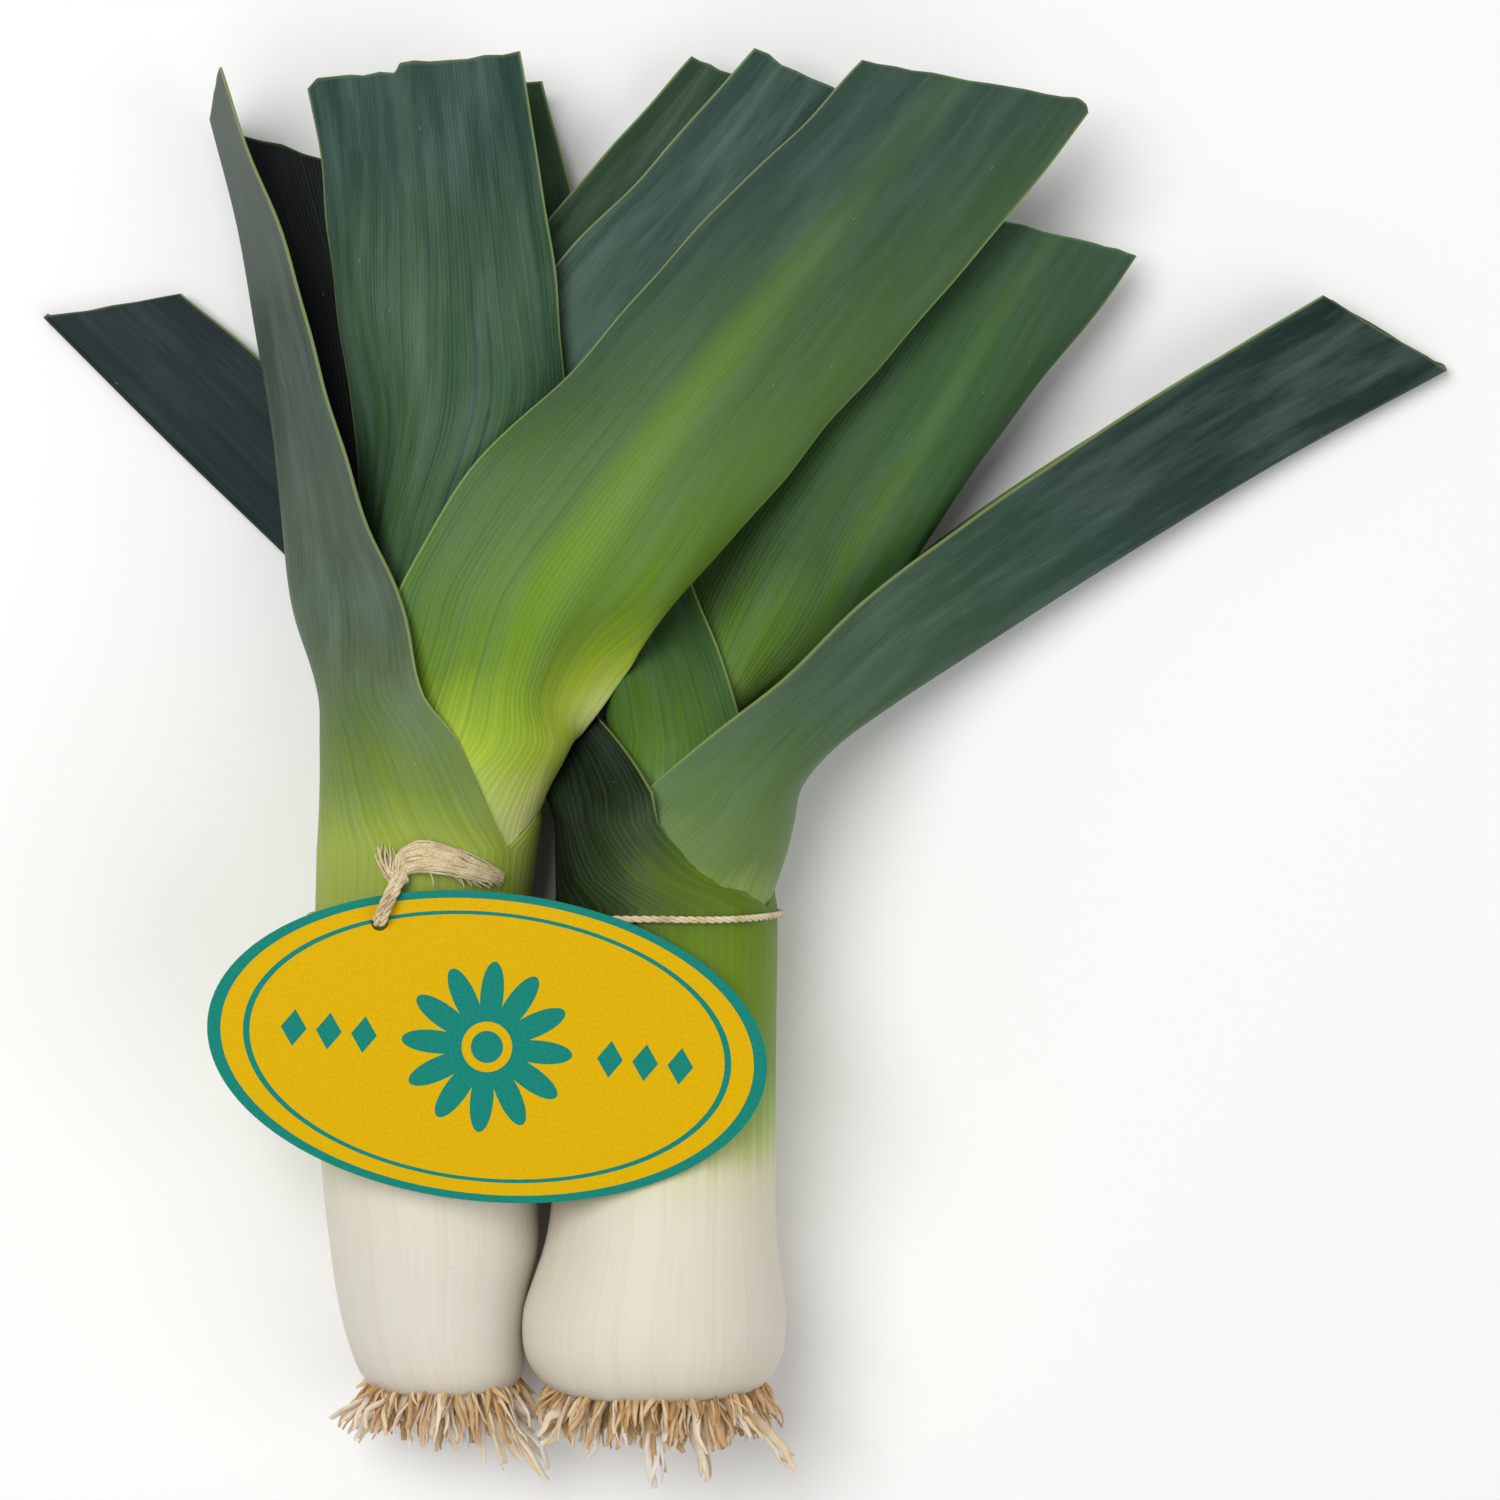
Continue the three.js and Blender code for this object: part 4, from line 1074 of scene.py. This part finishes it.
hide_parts("twine_knot")

# --------------------
# Tag. A stiff die-cut card, printed on both sides in two colours and lightly varnished, with one
# punched hole for the string.
# --------------------

TAG_CENTRE = (-52.1, -56.3)
TAG_LENGTH = 111.4
TAG_WIDTH = 61.4
TAG_THICKNESS = 0.8
TAG_TURN = math.radians(-5.7)
HOLE_WIDTH = 3.4
AROUND, OUTWARD = 240, 24  # faces round the card, and from the hole to its edge
# The print, in millimetres, and in shares of the card's size for the border and the line inside it
BORDER, LINE, LINE_HALF = 0.952, 0.86, 0.012
PETAL, EYE, PIP = 8.5, 5.0, 3.2
ROW_GAP, ROW_START, ROW_END = 7.0, 21.0, 42.0

cos_t, sin_t = math.cos(TAG_TURN), math.sin(TAG_TURN)
from_centre = np.array([TAG_HOLE[0] - TAG_CENTRE[0], TAG_HOLE[1] - TAG_CENTRE[1]])
hole = np.array([from_centre @ [cos_t, sin_t], from_centre @ [-sin_t, cos_t]])
angles = np.linspace(0, 2 * math.pi, AROUND, endpoint=False)
ray = np.stack([np.cos(angles), np.sin(angles)], axis=1)
semi = np.array([TAG_LENGTH / 2, TAG_WIDTH / 2])
qa = ((ray / semi) ** 2).sum(1)
qb = (2 * ray * hole / semi**2).sum(1)
qc = ((hole / semi) ** 2).sum() - 1
reach = (-qb + np.sqrt(qb**2 - 4 * qa * qc)) / (2 * qa)
levels = np.linspace(0, 1, OUTWARD + 1)
rim = HOLE_WIDTH / 2
card = hole + ray[None] * (rim + (reach[None, :, None] - rim) * levels[:, None, None])
world = np.stack([
    TAG_CENTRE[0] + card[..., 0] * cos_t - card[..., 1] * sin_t,
    TAG_CENTRE[1] + card[..., 0] * sin_t + card[..., 1] * cos_t,
], axis=-1)
under = 51.9 + 0.015 * (world[..., 0] + 17) + 0.035 * (world[..., 1] + 31)
bottom = np.concatenate([world, under[..., None]], axis=-1)
top_face = bottom + [0, 0, TAG_THICKNESS]
points = np.concatenate([top_face.reshape(-1, 3), bottom.reshape(-1, 3)])
number = np.arange((OUTWARD + 1) * AROUND).reshape(OUTWARD + 1, AROUND)
following = np.roll(number, -1, axis=1)
half = (OUTWARD + 1) * AROUND
quads = np.stack([number[:-1], number[1:], following[1:], following[:-1]], axis=-1).reshape(-1, 4)
faces = quads.tolist() + (quads[:, [0, 3, 2, 1]] + half).tolist()
for ring, outward in ((0, False), (OUTWARD, True)):
    a, b = number[ring], following[ring]
    wall = np.stack([a, a + half, b + half, b], axis=-1)
    faces += (wall if outward else wall[:, ::-1]).tolist()
tag_mesh = bpy.data.meshes.new("tag_card")
tag_mesh.from_pydata((points * MM).tolist(), [], faces)
uv = tag_mesh.uv_layers.new(name="print")
flat = np.concatenate([card.reshape(-1, 2)] * 2)
corner = np.empty(len(tag_mesh.loops), np.int32)
tag_mesh.loops.foreach_get("vertex_index", corner)
uv.data.foreach_set("uv", flat[corner].ravel().astype(np.float32))
tag_card = placed("tag_card", tag_mesh)

# Varnished card: flat inks on a smooth coated board, with a faint tooth
printed, put = bare_material("varnished printed card")
place = put("UVMap", uv_map="print")
across, up, _ = put("SeparateXYZ", [place]).outputs
# How far out a point is, 1 on the edge of the card
oval = put("VectorMath", {0: place, 1: (2 / TAG_LENGTH, 2 / TAG_WIDTH, 0)}, operation="MULTIPLY")
oval = put("VectorMath", [oval], operation="LENGTH").outputs["Value"]
border = put("GREATER_THAN", [oval, BORDER])
# A rosette of twelve petals in the middle
far = put("VectorMath", [place], operation="LENGTH").outputs["Value"]
round_ = put("ARCTAN2", [up, across])
petal = put("MULTIPLY", [round_, 6.0])
petal = put("COSINE", [petal])
petal = put("ABSOLUTE", [petal])
petal = put("MULTIPLY_ADD", [petal, PETAL, PETAL])
in_petals = put("LESS_THAN", [far, petal])
out_of_eye = put("GREATER_THAN", [far, EYE])
rosette = put("MULTIPLY", [in_petals, out_of_eye])
pip = put("LESS_THAN", [far, PIP])
# Rows of lozenges to the left and right of it
cell = put("PINGPONG", [across, ROW_GAP])
cell = put("SUBTRACT", [cell, ROW_GAP / 2])
cell = put("ABSOLUTE", [cell])
tall = put("ABSOLUTE", [up])
lozenge = put("MULTIPLY_ADD", [tall, 0.7, cell])
lozenge = put("LESS_THAN", [lozenge, 2.6])
aside = put("ABSOLUTE", [across])
beside = put("GREATER_THAN", [aside, ROW_START])
not_far = put("LESS_THAN", [aside, ROW_END])
lozenge = put("MULTIPLY", [lozenge, beside])
lozenge = put("MULTIPLY", [lozenge, not_far])
# A fine line inside the border
fine_line = put("SUBTRACT", [oval, LINE])
fine_line = put("ABSOLUTE", [fine_line])
fine_line = put("LESS_THAN", [fine_line, LINE_HALF])
inked = border
for motif in (rosette, pip, lozenge, fine_line):
    inked = put("MAXIMUM", [inked, motif])
tooth = put("TexNoise", {"Vector": place, "Scale": 1.6, "Detail": 4.0})
ground = put("ValToRGB", [tooth], [(0.3, "#CFA200"), (0.7, "#D8AE02")])
teal = put("ValToRGB", [tooth], [(0.3, "#12776A"), (0.7, "#188474")])
colour = put("Mix", {0: inked, 6: ground, 7: teal})
bump = put("Bump", {"Strength": 0.08, "Distance": 0.0001, "Height": tooth})
varnish = put("BsdfPrincipled", {
    "Base Color": colour,
    "Roughness": 0.45,
    "IOR": 1.5,
    "Specular IOR Level": 0.05,
    "Normal": bump,
})
put("OutputMaterial", {"Surface": varnish})
tag_mesh.materials.append(printed)
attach(tag_card, "root")
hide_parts("tag")

# --------------------
# Studio. A plain pale table, a large soft light above and to the left, a weaker one opposite, and a
# camera that looks straight down; 315 mm of the table fill the picture.
# --------------------

CAMERA_HEIGHT = 0.9
PICTURE_WIDTH = 0.315
TABLE_HALF = 3
TABLE_TOP = -0.0002

square = ((-1, -1), (1, -1), (1, 1), (-1, 1))
corners = [(x * TABLE_HALF, y * TABLE_HALF, TABLE_TOP) for x, y in square]
table_mesh = bpy.data.meshes.new("table")
table_mesh.from_pydata(corners, [], [(0, 1, 2, 3)])
paper = bpy.data.materials.new("matt white paper backdrop")
paper.use_nodes = True
paper.node_tree.nodes["Principled BSDF"].inputs["Base Color"].default_value = linear("#F4F4F2")
paper.node_tree.nodes["Principled BSDF"].inputs["Roughness"].default_value = 0.9
table_mesh.materials.append(paper)
placed("table", table_mesh)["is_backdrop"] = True

for name, place, size, power in (
    ("soft key", (-0.5, 0.35, 1.35), 1.0, 16),
    ("soft fill", (0.9, -0.5, 1.1), 1.4, 6.5),
):
    lamp = bpy.data.lights.new(name, "AREA")
    lamp.shape = "DISK"
    lamp.size = size
    lamp.energy = power
    light = placed(name, lamp)
    light.location = place
    aim = np.array(place) - [0, 0, 0.02]
    tip = math.atan2(math.hypot(aim[0], aim[1]), aim[2])
    light.rotation_euler = (tip, 0, math.atan2(aim[0], -aim[1]))
sky = bpy.data.worlds.new("white room")
sky.use_nodes = True
sky.node_tree.nodes["Background"].inputs["Color"].default_value = (1, 1, 1, 1)
sky.node_tree.nodes["Background"].inputs["Strength"].default_value = 0.32
bpy.context.scene.world = sky
bpy.context.scene.view_settings.view_transform = "Standard"

lens = bpy.data.cameras.new("camera")
lens.sensor_width = 36
lens.lens = lens.sensor_width * CAMERA_HEIGHT / PICTURE_WIDTH
camera = placed("camera", lens)
camera.location = (0, 0.0025, CAMERA_HEIGHT)
bpy.context.scene.camera = camera

boxes = {"cad": cad_box, "dressed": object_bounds()}
boxes = {name: [[float(c) for c in corner] for corner in box] for name, box in boxes.items()}
